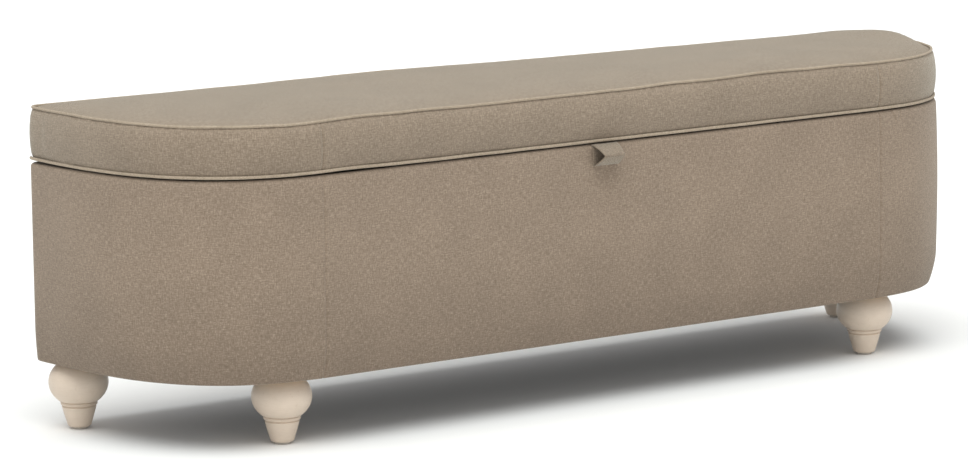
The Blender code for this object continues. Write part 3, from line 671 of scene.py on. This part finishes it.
def body_skin():
    """Outer half of the cover's section, from over the rim to under the floor: (inset, height)."""
    skin = [(WRAP_IN - 0.002 * k, RIM) for k in range(int((WRAP_IN - RIM_ROUND) / 0.002) + 1)]
    skin += arc((RIM_ROUND, RIM - RIM_ROUND), RIM_ROUND, pi / 2, pi, 7)
    heights = list(np.linspace(RIM - RIM_ROUND, RIM - PLEAT_LONG - RIM_ROUND, 14)[1:])
    heights += list(np.linspace(RIM - PLEAT_LONG - RIM_ROUND, FOOT + FOOT_ROUND, 38)[1:])
    skin += [(0.0, z) for z in heights]
    skin += [(0.0, z) for z in np.linspace(FOOT + FOOT_ROUND, FOOT + FOOT_FOLD, 13)[1:]]
    skin += arc((FOOT_FOLD, FOOT + FOOT_FOLD), FOOT_FOLD, pi, 3 * pi / 2, 3)[1:]
    skin += [(WRAP_IN - FOOT_IN - 0.003 * k, FOOT) for k in range(4, -1, -1)]
    tidy = [skin[0]]
    for point in skin[1:]:
        if abs(point[0] - tidy[-1][0]) + abs(point[1] - tidy[-1][1]) > 0.0006:
            tidy.append(point)
    return tidy


def draw_in(z):
    """How far the skin leans in toward its lower edge."""
    share = max(0.0, 1 - (z - FOOT) / FOOT_ROUND)
    return FOOT_IN * share ** 1.5


def swell(z, most=BODY_SWELL):
    """How far the padding stands proud at a height on the body."""
    share = (z - FOOT) / (RIM - FOOT)
    return most * max(0.0, sin(pi * min(1.0, max(0.0, share)))) ** 0.5


def puckers(along, z, seams):
    """Small pulls beside the upright seams and under the rim, and the pleat."""
    total = 0.0
    for seam in seams:
        near = exp(-abs(along - seam) / 0.020)
        total += 0.0006 * near * wave((along * 0.4, 0, z), 0.018, 3.0)
    hang = exp(-(RIM - z) / 0.022)
    drop = (RIM - z) / PLEAT_LONG
    if drop < 1:
        lean = PLEAT_LEAN * (1 - drop)
        place = along - (seams[0] - PLEAT_PAST)
        total -= PLEAT_DEPTH * (1 - drop) * bump(abs(place), lean, PLEAT_WIDTH)
        total += 0.5 * PLEAT_DEPTH * (1 - drop) * bump(place, 0.0, max(0.002, lean * 0.7))
    return total + 0.0007 * hang * wave((along, 0, z * 0.3), 0.024, 12.0)


def dress_skin(place, normal, inset, z, along, seams, corner):
    """A point of the body's skin, with its padding, long soft waves, seams and pulls."""
    off_corner = min(1.0, max(0.0, abs(along - corner) / 0.16))
    full = off_corner * off_corner * (3 - 2 * off_corner)
    out = -inset - draw_in(z) * (0.25 + 0.75 * full)
    if inset < RIM_ROUND:
        face = 1.0 - (inset / RIM_ROUND) ** 2
        soft = 0.0009 * wave((along, 0.0, z * 0.6), 0.16, 1.0)
        soft += 0.0006 * wave((along, 0.0, z * 0.4), 0.055, 2.0)
        seam = min(seams, key=lambda value: abs(along - value))
        groove = SEAM_DEPTH * bump(along, seam, SEAM_WIDTH) - 0.0006 * bump(along, seam, 0.020)
        end = BODY_SWELL + END_SWELL * bump(abs(along - corner), 0.26, 0.14)
        out += face * full * (swell(z, end) + soft + puckers(along, z, seams)) - face * groove
    rise = RIM_SWELL * full * bump(inset, 0.007, 0.004) if z > RIM - RIM_ROUND else 0.0
    return (place[0] + normal[0] * out, place[1] + normal[1] * out, z + rise)


def nearest_on(line, place):
    """Closest point of a dense plan line."""
    steps = np.diff(line, axis=0)
    share = ((place - line[:-1]) * steps).sum(1) / np.maximum((steps ** 2).sum(1), 1e-12)
    spots = line[:-1] + steps * np.clip(share, 0, 1)[:, None]
    return spots[np.argmin(((spots - place) ** 2).sum(1))]


def make_body_cover():
    """Front and ends: one padded skin with an upright seam near each end of the front."""
    line = d_line()
    total = measured(line)[-1]
    corner = HALF - BODY_CORNER * 0.6
    start = HALF - BODY_CORNER - BODY_WRAP
    seam = (total - 2 * FLAT) / 2 - SEAM_PAST
    seams = (seam, total - seam)
    at = stations(start, total - start, 0.0065, (seam - PLEAT_PAST, *seams), 0.014)
    places, normals = walk(line, at)
    skin = [p for p in body_skin() if p[0] < WRAP_IN - 0.001]
    board = d_line(PAD - GAP, FRAME_CORNER - 0.009, PAD - GAP)
    tucked = d_line(WRAP_IN, 0.001, WRAP_IN)
    rows = []
    for along, place, normal in zip(at, places, normals):
        near = corner if along < total / 2 else total - corner
        row = [dress_skin(place, normal, inset, z, along, seams, near) for inset, z in skin]
        deep, wall = nearest_on(tucked, place), nearest_on(board, place)
        row += [(*deep, FOOT), (*deep, FOOT + WRAP), (*wall, FOOT + WRAP),
                (*wall, RIM - WRAP), (*deep, RIM - WRAP), (*deep, RIM)]
        rows.append(row)
    cover = loft("body_cover", rows, BODY_FABRIC)
    finish_piece(cover, "base", "body_fabric", "front_cover", "left_end_cover", "right_end_cover")


def make_back_cover():
    """Outside back: its own panel, turned under along all four edges."""
    half = HALF - BODY_CORNER - BODY_WRAP - 0.0008
    deep = WRAP_IN + 0.006
    xs = np.linspace(-half, half, 230)
    skin = [p for p in body_skin() if p[0] < WRAP_IN - 0.001]
    thick = PAD - GAP
    rows = []
    for x in xs:
        edge = 1 - min(1.0, (half - abs(x)) / 0.006)
        tuck = 0.0035 * edge ** 2
        row = []
        for inset, z in skin:
            soft = 0.0007 * wave((x, 3.0, z * 0.6), 0.15, 4.0)
            proud = swell(z) * 0.45 + soft - tuck - draw_in(z) * 0.25 if inset < 0.004 else 0.0
            row.append((x, BACK - inset + proud, z))
        row += [(x, BACK - inset, z) for inset, z in (
            (deep, FOOT), (deep, FOOT + WRAP), (thick, FOOT + WRAP),
            (thick, RIM - WRAP), (deep, RIM - WRAP), (deep, RIM))]
        rows.append(row)
    cover = loft("back_cover_padded", rows, BODY_FABRIC)
    finish_piece(cover, "base", "body_fabric", "back_cover")


# ---------------------------------------------------------------- lid

def seam_drift(x, y):
    """Height by which the upper seam wanders, as sewn cushions do."""
    front = min(1.0, max(0.0, (BACK - 0.12 - y) / 0.2))
    tilt = -(0.0045 if x < 0 else 0.0062) * max(-1.0, min(1.0, x / 0.75))
    tilt = (tilt + 0.0030 * bump(x, -0.17, 0.18)) * (1 - front)
    rise = 0.0024 * bump(x, -0.47, 0.06) + 0.0011 * bump(x, -0.36, 0.05)
    rise += 0.0032 * bump(x, 0.31, 0.10) + 0.0018 * bump(x, 0.12, 0.06)
    rise += 0.0016 * bump(x, 0.46, 0.05)
    rise -= 0.0014 * bump(x, -0.60, 0.05)
    end = END_LIFT * exp(-((x - HALF) / 0.05) ** 2 - ((y - FULL_Y) / 0.10) ** 2)
    return rise * front + tilt + SEAM_LIFT * (1 + 1.7 * front) + end


def lid_line(inset):
    """The lid's outline at an inset: its closed plan line."""
    return d_line(LID_STEP + inset, LID_CORNER - min(inset, 0.01), LID_BACK_STEP + inset)


def cushion_start():
    """Closed start shape of the seat cushion: flat underside, boxing and slightly crowned top."""
    line = lid_line(0.0)
    total = measured(line)[-1]
    at = np.linspace(0, total, 460, endpoint=False)
    places, normals = walk(line, at)
    normals[0] = normals[-1] = (0.0, 1.0)
    middle_y, spine = BACK - DEPTH / 2, HALF - DEPTH / 2
    rings = []

    def ring(inset, z):
        inside = places - normals * inset
        rings.append([(x, y, z) for x, y in inside])

    def inner(share, z):
        row = []
        for x, y in places - normals * 0.006:
            near = max(-spine, min(spine, x))
            row.append((near + (x - near) * share, middle_y + (y - middle_y) * share, z))
        rings.append(row)

    for share in (0.02, 0.5, 0.98):
        inner(share, LID_BOTTOM)
    ring(0.0015, LID_BOTTOM)
    for z in np.linspace(LID_BOTTOM + 0.003, SEAM - 0.0035, 12):
        ring(0.0, z)
    ring(0.0030, SEAM - 0.0010)
    for i in range(16):
        share = 1 - i / 16
        inner(max(0.02, share), SEAM + SEAT_START * (1 - share ** 5))
    inner(0.02, SEAM + SEAT_START)
    count = len(at)
    vertices = np.array(rings).reshape(-1, 3)
    faces = []
    for r in range(len(rings) - 1):
        for k in range(count):
            nxt, own, above = (k + 1) % count, r * count, (r + 1) * count
            faces.append((own + k, own + nxt, above + nxt, above + k))
    faces.append(tuple(range(count)))
    faces.append(tuple(range((len(rings) - 1) * count, len(rings) * count)))
    return make_object("lid_cushion", vertices, faces, SEAT_FABRIC)


def evaluated_mesh(obj):
    graph = bpy.context.evaluated_depsgraph_get()
    graph.update()
    return bpy.data.meshes.new_from_object(obj.evaluated_get(graph))


def remesh(obj, voxel):
    modifier = obj.modifiers.new("remesh", "REMESH")
    modifier.mode = "VOXEL"
    modifier.voxel_size = voxel
    made = evaluated_mesh(obj)
    obj.modifiers.remove(modifier)
    old = obj.data
    obj.data = made
    bpy.data.meshes.remove(old)
    return obj


def points_of(mesh):
    flat = np.empty(len(mesh.vertices) * 3, np.float64)
    mesh.vertices.foreach_get("co", flat)
    return flat.reshape(-1, 3)


def set_points(mesh, points):
    mesh.vertices.foreach_set("co", points.astype(np.float32).ravel())
    mesh.update()


def tree_over(places):
    tree = KDTree(len(places))
    for index, place in enumerate(places):
        tree.insert(place, index)
    tree.balance()
    return tree


def seam_tree(step):
    """Tree over the seam lines that hold the cushion's cover in."""
    places = []
    for inset, z in ((SEAM_IN, SEAM - 0.0015), (0.0, LID_BOTTOM + 0.002)):
        line = lid_line(inset)
        for x, y in walk(line, np.arange(0, measured(line)[-1], step))[0]:
            places.append((x, y, z))
    return tree_over(places)


def fill_by_cloth(obj, held, pressure, frames=20):
    """Blows the cushion's cover up from inside while its seams hold, and returns the new points."""
    group = obj.vertex_groups.new(name="held")
    for level in range(1, 11):
        share = level / 10
        found = [int(i) for i in np.nonzero(np.round(held * 10) == level)[0]]
        if found:
            group.add(found, share, "REPLACE")
    cloth = obj.modifiers.new("cloth", "CLOTH")
    settings = cloth.settings
    settings.quality = 4
    settings.mass = 0.25
    settings.tension_stiffness = settings.compression_stiffness = 12
    settings.shear_stiffness = 4
    settings.bending_stiffness = 0.4
    settings.vertex_group_mass = "held"
    settings.pin_stiffness = 1.0
    settings.use_pressure = True
    settings.uniform_pressure_force = pressure
    settings.effector_weights.gravity = 0
    cloth.collision_settings.use_collision = False
    cloth.point_cache.frame_start, cloth.point_cache.frame_end = 1, frames
    scene = bpy.context.scene
    for number in range(1, frames + 1):
        scene.frame_set(number)
    made = evaluated_mesh(obj)
    points = points_of(made)
    bpy.data.meshes.remove(made)
    obj.modifiers.remove(cloth)
    obj.vertex_groups.remove(group)
    scene.frame_set(1)
    return points


def make_cushion():
    """The lid's upholstery: crowned seat and soft boxing, held in at its seams."""
    cushion = remesh(cushion_start(), VOXEL)
    start = points_of(cushion.data)
    tree = seam_tree(0.004)
    reach = np.array([tree.find(point)[2] for point in start])
    held = np.clip(1.35 - reach / HOLD_REACH, 0, 1)
    held[start[:, 2] < LID_BOTTOM + 0.0015] = 1.0
    moved = fill_by_cloth(cushion, held, pressure=4.0)
    outward = np.empty(len(start) * 3)
    cushion.data.vertex_normals.foreach_get("vector", outward)
    outward = outward.reshape(-1, 3)
    outward[:, 2] = 0
    outward /= np.maximum(np.linalg.norm(outward, axis=1), 0.2)[:, None]
    shift = moved - start
    size = np.linalg.norm(shift, axis=1)
    top = start[:, 2] > SEAM - 0.001
    back = start[:, 1] > BACK - 0.012
    cap = np.where(top, SEAT_CAP, np.where(back, 0.0025, SIDE_CAP))
    factor = np.where(size > 1e-9, cap * np.tanh(size / cap) / np.maximum(size, 1e-9), 0.0)
    points = start + shift * factor[:, None]
    height = np.clip((start[:, 2] - LID_BOTTOM) / (SEAM - LID_BOTTOM), 0, 1)
    corner = np.clip((HALF - LID_CORNER - np.abs(start[:, 0])) / 0.04, 0.85, 1)
    side = np.where(back, 0.5, np.where(start[:, 1] > BACK - 0.06, corner, 1.0))
    plump = np.where(top, 0.0, SIDE_PLUMP * np.sin(pi * height) ** 0.6) * side
    points += outward * plump[:, None]
    inside = np.maximum(reach - 0.003, 0)
    points[:, 2] += np.where(top, SEAT_PLUMP * (1 - np.exp(-inside / 0.022)), 0.0)
    for index, (x, y, z) in enumerate(points):
        share = (z - LID_BOTTOM) / (SEAM - LID_BOTTOM)
        loose = 1 - held[index]
        lift = seam_drift(x, y) * min(1.0, max(0.0, share))
        if top[index]:
            full = exp(-((x - FULL_X) / 0.085) ** 2 - ((y - FULL_Y) / 0.11) ** 2)
            lift += loose * FULL_END * full
            soft = 0.0012 * wave((x, y, 0), 0.22, 5.0) + 0.0005 * wave((x, y, 0), 0.07, 6.0)
            lift += loose * soft
            points[index, 2] = z + lift
        else:
            soft = loose * 0.0008 * wave((x * 1.2, y * 1.2, z), 0.09, 7.0)
            points[index] = (x + soft * np.sign(x) * abs(x) / HALF, y - soft, z + lift)
    set_points(cushion.data, points)
    box_seams(cushion)
    lay_cushion_cloth(cushion)
    finish_piece(cushion, "lid", "seat_fabric", "seat_foam", "seat_cover", "front_boxing",
                 "back_boxing", "left_end_boxing", "right_end_boxing")
    return cushion


def box_seams(cushion):
    """Cuts the two upright seams of the boxing in as fine grooves."""
    bm = bmesh.new()
    bm.from_mesh(cushion.data)
    for sign in (-1, 1):
        middle = sign * (FLAT + SEAM_PAST)
        for offset in (*(-cut for cut in reversed(BOX_CUTS)), 0.0, *BOX_CUTS):
            near = []
            for face in bm.faces:
                x, y, z = face.calc_center_median()
                if abs(x - middle) < 0.012 and z < SEAM + 0.002 and y < 0:
                    near.append(face)
            edges = {edge for face in near for edge in face.edges}
            corners = {vertex for face in near for vertex in face.verts}
            bmesh.ops.bisect_plane(bm, geom=list(set(near) | edges | corners), dist=0.0001,
                                   plane_co=(middle + offset, 0, 0), plane_no=(1, 0, 0))
    for vertex in bm.verts:
        x, y, z = vertex.co
        off = abs(abs(x) - FLAT - SEAM_PAST)
        if off < 0.02 and y < FRONT + 0.05 and LID_BOTTOM + 0.003 < z < SEAM - 0.001:
            pull = BOX_SEAM_DEPTH * bump(off, 0.0, 0.0014) - 0.0005 * bump(off, 0.007, 0.005)
            pull += 0.0005 * exp(-off / 0.012) * wave((0, x, z), 0.016, 8.0)
            vertex.co.y += pull
    bm.to_mesh(cushion.data)
    bm.free()
    cushion.data.shade_smooth()


def lay_cushion_cloth(cushion):
    """Lays the weave along the boxing and straight across the seat."""
    line = lid_line(0.0)
    total = measured(line)[-1]
    at = np.arange(0, total, 0.003)
    places = walk(line, at)[0]
    tree = tree_over([(x, y, 0) for x, y in places])
    mesh = cushion.data
    points = points_of(mesh)
    along = [None] * len(points)  # distance round the lid, found once for each vertex
    cloth = []
    for polygon in mesh.polygons:
        if abs(polygon.normal.z) > 0.72:
            cloth += [(points[v][0], points[v][1], 0.0) for v in polygon.vertices]
            continue
        found = []
        for v in polygon.vertices:
            if along[v] is None:
                x, y = points[v][:2]
                index = tree.find((x, y, 0))[1]
                place = places[index]
                ahead = places[(index + 1) % len(places)] - place
                ahead /= np.linalg.norm(ahead)
                along[v] = at[index] + (x - place[0]) * ahead[0] + (y - place[1]) * ahead[1]
            found.append(along[v])
        if max(found) - min(found) > total / 2:
            found = [s + total if s < total / 2 else s for s in found]
        cloth += [(s, points[v][2], 0.0) for s, v in zip(found, polygon.vertices)]
    lay_cloth(mesh, cloth)


def make_welts():
    """Upper piping all round the seat and lower piping along the front and the ends."""
    line = lid_line(SEAM_IN - 0.0010)
    total = measured(line)[-1]
    upper = []
    for x, y in walk(line, np.arange(0, total, WELT_STEP))[0]:
        wander = 0.0005 * wave((x, y, 0), 0.05, 9.0)
        upper.append((x, y, SEAM + 0.0004 + seam_drift(x, y) + wander))
    welt = tube("seat_piping", upper, WELT * 0.92, LIT_WELT_FABRIC, closed=True)
    finish_piece(welt, "lid", "welt_fabric", "seat_welt")
    line = lid_line(-LOWER_WELT_OUT)
    total = measured(line)[-1]
    start = HALF - 0.004
    lower = []
    for x, y in walk(line, np.arange(start, total - start, WELT_STEP))[0]:
        wander = 0.0004 * wave((x, y, 0), 0.06, 10.0)
        drop = 0.0014 * bump(x, -0.50, 0.06) - 0.0009 * bump(x, 0.53, 0.05)
        front = min(1.0, max(0.0, (0.05 - y) / 0.1))
        lower.append((x, y, LID_LOW + WELT + 0.0016 + wander + max(0, drop) * front))
    cord = tube("lid_piping", lower, WELT, LIT_WELT_FABRIC)
    finish_piece(cord, "lid", "welt_fabric", "lid_welt")


# ---------------------------------------------------------------- pull tab

def make_pull_tab():
    """Doubled ribbon sewn into a loop, its tip folded flat, with stitches near each edge."""
    lo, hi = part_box("pull_tab")
    root = Vector(((lo.x + hi.x) / 2, hi.y - 0.0012, hi.z - 0.0012))
    tip = Vector((root.x, lo.y + 0.0016, root.z - TAB_DROP))
    fold = Vector((root.x, FRONT - 0.0030, lo.z + 0.0016))
    bend = Vector((root.x, FRONT - 0.0026, root.z - 0.007))
    knots = [root, tip, fold, bend]
    line = []
    for i, knot in enumerate(knots):
        after = knots[(i + 1) % 4]
        for step in range(16):
            share = step / 16
            point = knot.lerp(after, share)
            if i == 0:
                point.z += 0.0020 * sin(pi * share)
            elif i == 1:
                point.z -= 0.0016 * sin(pi * share)
            line.append(point)
    smooth = []
    count = len(line)
    for i in range(count):
        around = [line[(i + k) % count] for k in (-1, 0, 1)]
        smooth.append((around[0] + around[1] * 2 + around[2]) / 4)
    half_width = (hi.x - lo.x) / 2
    rows = []
    narrow = [1 - TAB_TAPER * min(1.0, max(0.0, (root.y - p.y) / (root.y - tip.y))) for p in smooth]
    for i, point in enumerate(smooth):
        tangent = (smooth[(i + 1) % count] - smooth[i - 1]).normalized()
        normal = Vector((0, -tangent.z, tangent.y))
        row = []
        for x, side in edge_path(half_width, TAB_THICK / 2):
            curl = 0.0008 * (x / half_width) ** 2
            inner = x * narrow[i] - half_width * (1 - narrow[i])
            row.append(point + normal * (side - curl * 0.4) + Vector((inner, 0, 0)))
        rows.append(row)
    tab = loft("pull_loop", rows, SEAT_FABRIC, closed=True)
    finish_piece(tab, "pull_tab", "seat_fabric", "pull_tab")
    places = []
    for i in range(1, count - 3):
        point = smooth[i].lerp(smooth[i + 1], 0.5)
        along = smooth[i + 1] - smooth[i]
        if along.length < 0.0008:
            continue
        normal = Vector((0, -along.z, along.y)).normalized()
        if normal.dot(point - (root + tip + fold) / 3) < 0:
            normal = -normal
        for x in (-half_width + STITCH_IN, half_width - STITCH_IN):
            inner = x * narrow[i] - half_width * (1 - narrow[i])
            place = point + Vector((inner, 0, 0)) + normal * TAB_THICK * 0.5
            places.append((place, along, normal))
    stitches = beads("pull_loop_stitches", places, STITCH_SIZE, THREAD_CLOTH)
    finish_piece(stitches, "pull_tab", "seat_fabric")


def edge_path(half_width, half_thick):
    """Section of a ribbon: flat faces and rounded edges, as (across, out)."""
    flat = half_width - half_thick
    right = [(flat + half_thick * cos(t), half_thick * sin(t))
             for t in np.linspace(-pi / 2, pi / 2, 5)]
    top = [(x, half_thick) for x in np.linspace(flat, -flat, 12)[1:-1]]
    left = [(-flat + half_thick * cos(t), half_thick * sin(t))
            for t in np.linspace(pi / 2, 3 * pi / 2, 5)]
    under = [(-x, -half_thick) for x, _ in top]
    return right + top + left + under


# ---------------------------------------------------------------- legs

def leg_profile(lo, hi):
    """Bun, beaded collar and tapered foot of a turned leg, from the bolt's bore to the foot."""
    top, foot = hi.z, lo.z
    ball_radius = (hi.x - lo.x) / 2
    collar_top = top - COLLAR_DROP
    collar_low = collar_top - COLLAR_HEIGHT
    last = -(pi / 2 - asin(LEG_NECK / ball_radius))
    center = collar_top - LEG_RISE * sin(last)
    first = asin((top - center) / LEG_RISE)
    bore, depth = BOLT_BORE
    profile = [(0, top - depth), (bore, top - depth), (bore, top)]
    for i in range(37):
        angle = first + (last - first) * i / 36
        profile.append((ball_radius * cos(angle), center + LEG_RISE * sin(angle)))
    profile += [(LEG_NECK - 0.0012, collar_top - 0.0002),
                (LEG_COLLAR - LEG_GROOVE, collar_top - 0.0007)]
    band = collar_top - collar_low - 0.0014
    for i in range(13):
        turn = pi / 2 - pi * i / 12
        out = LEG_COLLAR - 0.0012 + 0.0014 * max(0.0, cos(turn)) ** 0.6
        profile.append((out, (collar_top + collar_low) / 2 + band / 2 * sin(turn)))
    profile += [(LEG_TAPER - LEG_GROOVE * 0.9, collar_low - 0.0003),
                (LEG_TAPER - LEG_GROOVE * 0.5, collar_low - 0.0012)]
    upper, lower = collar_low - 0.0022, foot + SOLE_ROUND
    for i in range(12):
        share = i / 11
        radius = LEG_TAPER + (LEG_SOLE - LEG_TAPER) * (share ** 1.08)
        profile.append((radius, upper + (lower - upper) * share))
    for i in range(1, 7):
        turn = pi / 2 * i / 6
        profile.append((LEG_SOLE - SOLE_ROUND * (1 - cos(turn)), lower - SOLE_ROUND * sin(turn)))
    profile.append((0, foot))
    return profile


def make_legs():
    for place in LEG_PLACES:
        node = f"leg_{place}"
        lo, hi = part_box(node)
        middle = (lo + hi) / 2
        leg = lathe(f"turned_leg_{place}", leg_profile(lo, hi), middle, LEG_PAINT)
        finish_piece(leg, "base", "leg_paint", node)


# ---------------------------------------------------------------- linings and fittings

def flat_cloth(name, plan, bottom, thick, material, ripple, holes=()):
    """Cloth cut to a closed plan line and laid flat, a little rippled, with round holes."""
    bm = bmesh.new()
    bm.faces.new([bm.verts.new((x, y, bottom)) for x, y in plan])
    for axis in (0, 1):
        for value in np.arange(plan[:, axis].min(), plan[:, axis].max(), CLOTH_CELL)[1:]:
            at, normal = [0.0, 0.0, 0.0], [0.0, 0.0, 0.0]
            at[axis], normal[axis] = value, 1.0
            geometry = bm.verts[:] + bm.edges[:] + bm.faces[:]
            bmesh.ops.bisect_plane(bm, geom=geometry, dist=0.0002, plane_co=at, plane_no=normal)
    gone = [f for f in bm.faces
            if any((f.calc_center_median().xy - Vector(h[:2])).length < h[2] for h in holes)]
    bmesh.ops.delete(bm, geom=gone, context="FACES")
    for vertex in bm.verts:
        vertex.co.z += ripple * (1 + wave(vertex.co, 0.05, 14.0)) / 2
    made = bmesh.ops.extrude_face_region(bm, geom=bm.faces[:])["geom"]
    for vertex in (v for v in made if isinstance(v, bmesh.types.BMVert)):
        vertex.co.z += thick
    obj = link_bmesh(name, bm, material, radians(50))
    points, faces = points_of(obj.data), obj.data.polygons
    lay_cloth(obj.data, [(points[v][0], points[v][1], 0) for f in faces for v in f.vertices])
    return obj


def clipped(step, back, count=220):
    """The body's outline at an inset, cut straight along the back, as a closed run of points."""
    line = d_line(step, 0.001, back)
    total = measured(line)[-1]
    return walk(line, np.linspace(0, total, count, endpoint=False))[0]


def staples(name, plan, z, up, body, slot, spacing=0.045):
    """Staples along a closed plan line."""
    line = np.concatenate([plan, plan[:1]])
    total = measured(line)[-1]
    spots, normals = walk(line, np.arange(0.01, total, spacing))
    places = []
    for (x, y), (nx, ny) in zip(spots, normals):
        places.append(((x, y, z), (-ny, nx, 0), (0, 0, up)))
    finish_piece(beads(name, places, STAPLE_SIZE, STEEL), body, slot)


def lay_flat(name, node, body, slot, material, thick, ripple, lift=0.0, holes=()):
    """Replaces a flat lining of the frame with cloth of the same outline."""
    lo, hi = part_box(node)
    plan = clipped(HALF - hi.x, BACK - hi.y)
    cloth = flat_cloth(name, plan, lo.z + lift, thick, material, ripple, holes)
    finish_piece(cloth, body, slot, node)


def make_linings():
    """Cloth inside the chest, under the body and under the lid."""
    holes = []
    for place in LEG_PLACES:
        middle = sum(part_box(f"leg_{place}_bolt"), Vector()) / 2
        holes.append((middle.x, middle.y, PLATE_HOLE))
    lay_flat("chest_floor_cloth", "floor_lining", "base", "lining_fabric", LINING_FABRIC,
             0.0009, 0.0005)
    lay_flat("dust_cloth", "dust_cover", "base", "dust_cloth", BLACK_CLOTH,
             0.0006, 0.0006, holes=holes)
    lo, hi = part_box("dust_cover")
    rim = clipped(HALF - hi.x + STAPLE_IN, BACK - hi.y + STAPLE_IN)
    staples("dust_cloth_staples", rim, lo.z - 0.0003, -1, "base", "dust_cloth")
    lay_flat("lid_black_cloth", "lid_lining", "lid", "dust_cloth", BLACK_CLOTH,
             0.0005, 0.0003, lift=0.0001)


def make_wall_cloth():
    """Cloth glued round the inside of the chest: one closed band with soft ripples."""
    lo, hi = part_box("wall_lining")
    line = d_line(HALF - hi.x, 0.001, BACK - hi.y)
    total = measured(line)[-1]
    at = np.arange(0, total - 0.001, 0.010)
    places, normals = walk(line, at)
    thick = 0.0010
    heights = np.linspace(lo.z, hi.z, 30)
    rows = []
    for along, place, normal in zip(at, places, normals):
        inner, outer = [], []
        for z in heights:
            loose = sin(pi * (z - lo.z) / (hi.z - lo.z))
            soft = 0.0004 * (wave((along, 0, z * 0.5), 0.06, 21.0) - 1) * loose
            inner.append((*(place + normal * (soft - thick)), z))
            outer.append((*(place + normal * soft), z))
        rows.append(outer + inner[::-1])
    band = loft("chest_wall_cloth", rows, LINING_FABRIC, closed=True, sharp=radians(50))
    finish_piece(band, "base", "lining_fabric", "wall_lining")


def screw_head(bm, middle, out, radius):
    """A low domed screw head with a cross recess cut as four small facets."""
    steps = 20
    turn = Vector(out).to_track_quat("Z", "Y").to_matrix()
    profile = ((1.0, 0.0), (0.97, 0.16), (0.82, 0.34), (0.55, 0.44), (0.30, 0.46), (0.18, 0.18))
    rings = []
    for share, rise in profile:
        ring = []
        for k in range(steps):
            angle = 2 * pi * k / steps
            near = share if share > 0.35 else share * (1.3 if k % 5 == 0 else 0.55)
            local = Vector((cos(angle) * near, sin(angle) * near, rise)) * radius
            ring.append(bm.verts.new(Vector(middle) + turn @ local))
        rings.append(ring)
    for a, b in zip(rings, rings[1:]):
        for k in range(steps):
            nxt = (k + 1) % steps
            bm.faces.new((a[k], a[nxt], b[nxt], b[k]))
    bm.faces.new(rings[0][::-1])
    bm.faces.new(rings[-1])


def make_screws(name, body, heads, radius=0.0027):
    bm = bmesh.new()
    for middle, out in heads:
        screw_head(bm, middle, out, radius)
    finish_piece(link_bmesh(name, bm, STEEL, radians(35)), body, "steel")


def make_fittings():
    """Screws of the lid stays' brackets."""
    base, lid = [], []
    for side, sign in SIDES.items():
        lo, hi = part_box(f"stay_{side}_base_bracket")
        for height in (0.22, 0.78):
            z = lo.z + (hi.z - lo.z) * height
            x = sign * (abs(lo.x + hi.x) / 2 + BRACKET_SIDE)
            base.append(((x, hi.y - SCREW_SINK, z), (0, -1, 0)))
        lo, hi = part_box(f"stay_{side}_lid_bracket")
        for depth in (0.2, 0.8):
            y = lo.y + (hi.y - lo.y) * depth
            x = sign * (abs(lo.x + hi.x) / 2 - BRACKET_SIDE)
            lid.append(((x, y, hi.z - SCREW_SINK), (0, 0, -1)))
    make_screws("base_bracket_screws", "base", base)
    make_screws("lid_bracket_screws", "lid", lid)


# ---------------------------------------------------------------- stage

def make_stage():
    size = 30.0
    corners = [(-size, -size, 0), (size, -size, 0), (size, size, 0), (-size, size, 0)]
    floor = make_object("floor", corners, [(0, 1, 2, 3)], floor_paint("floor_paint"))


def make_sun(name, toward, energy, angle, color=(1.0, 1.0, 1.0)):
    """A soft directional light shining along a direction."""
    lamp = bpy.data.lights.new(name, "SUN")
    lamp.energy = energy
    lamp.angle = angle
    lamp.color = color
    sun = bpy.data.objects.new(name, lamp)
    bpy.context.scene.collection.objects.link(sun)
    sun.rotation_mode = "QUATERNION"
    sun.rotation_quaternion = Vector(toward).to_track_quat("-Z", "Y")


def make_lights():
    world = bpy.data.worlds.new("studio")
    bpy.context.scene.world = world
    world.use_nodes = True
    sky = world.node_tree.nodes["Background"]
    sky.inputs["Color"].default_value = (1.0, 1.0, 1.0, 1.0)
    sky.inputs["Strength"].default_value = 0.55
    make_sun("key", (0.16, 0.22, -1.0), 2.60, radians(60), (0.97, 1.0, 0.985))
    make_sun("front_fill", (0.45, 1.0, -0.35), 0.36, radians(70), (1.0, 0.95, 0.88))


def make_camera():
    yaw, pitch, roll = CAMERA_YAW, CAMERA_PITCH, CAMERA_ROLL
    ahead = Vector((sin(yaw) * cos(pitch), cos(yaw) * cos(pitch), -sin(pitch)))
    right = Vector((cos(yaw), -sin(yaw), 0.0))
    up = right.cross(ahead)
    turned_right = right * cos(roll) + up * sin(roll)
    turned_up = up * cos(roll) - right * sin(roll)
    data = bpy.data.cameras.new("camera")
    data.lens = LENS
    data.sensor_width = SENSOR
    data.clip_end = 100.0
    camera = bpy.data.objects.new("camera", data)
    bpy.context.scene.collection.objects.link(camera)
    camera.matrix_world = Matrix.Translation(CAMERA_AT) @ Matrix(
        (turned_right, turned_up, -ahead)
    ).transposed().to_4x4()
    bpy.context.scene.camera = camera


bpy.context.scene.view_settings.view_transform = "Standard"
make_camera()
make_stage()
make_lights()
dress_frame()
make_body_cover()
make_back_cover()
make_cushion()
make_welts()
make_pull_tab()
make_legs()
make_linings()
make_wall_cloth()
make_fittings()
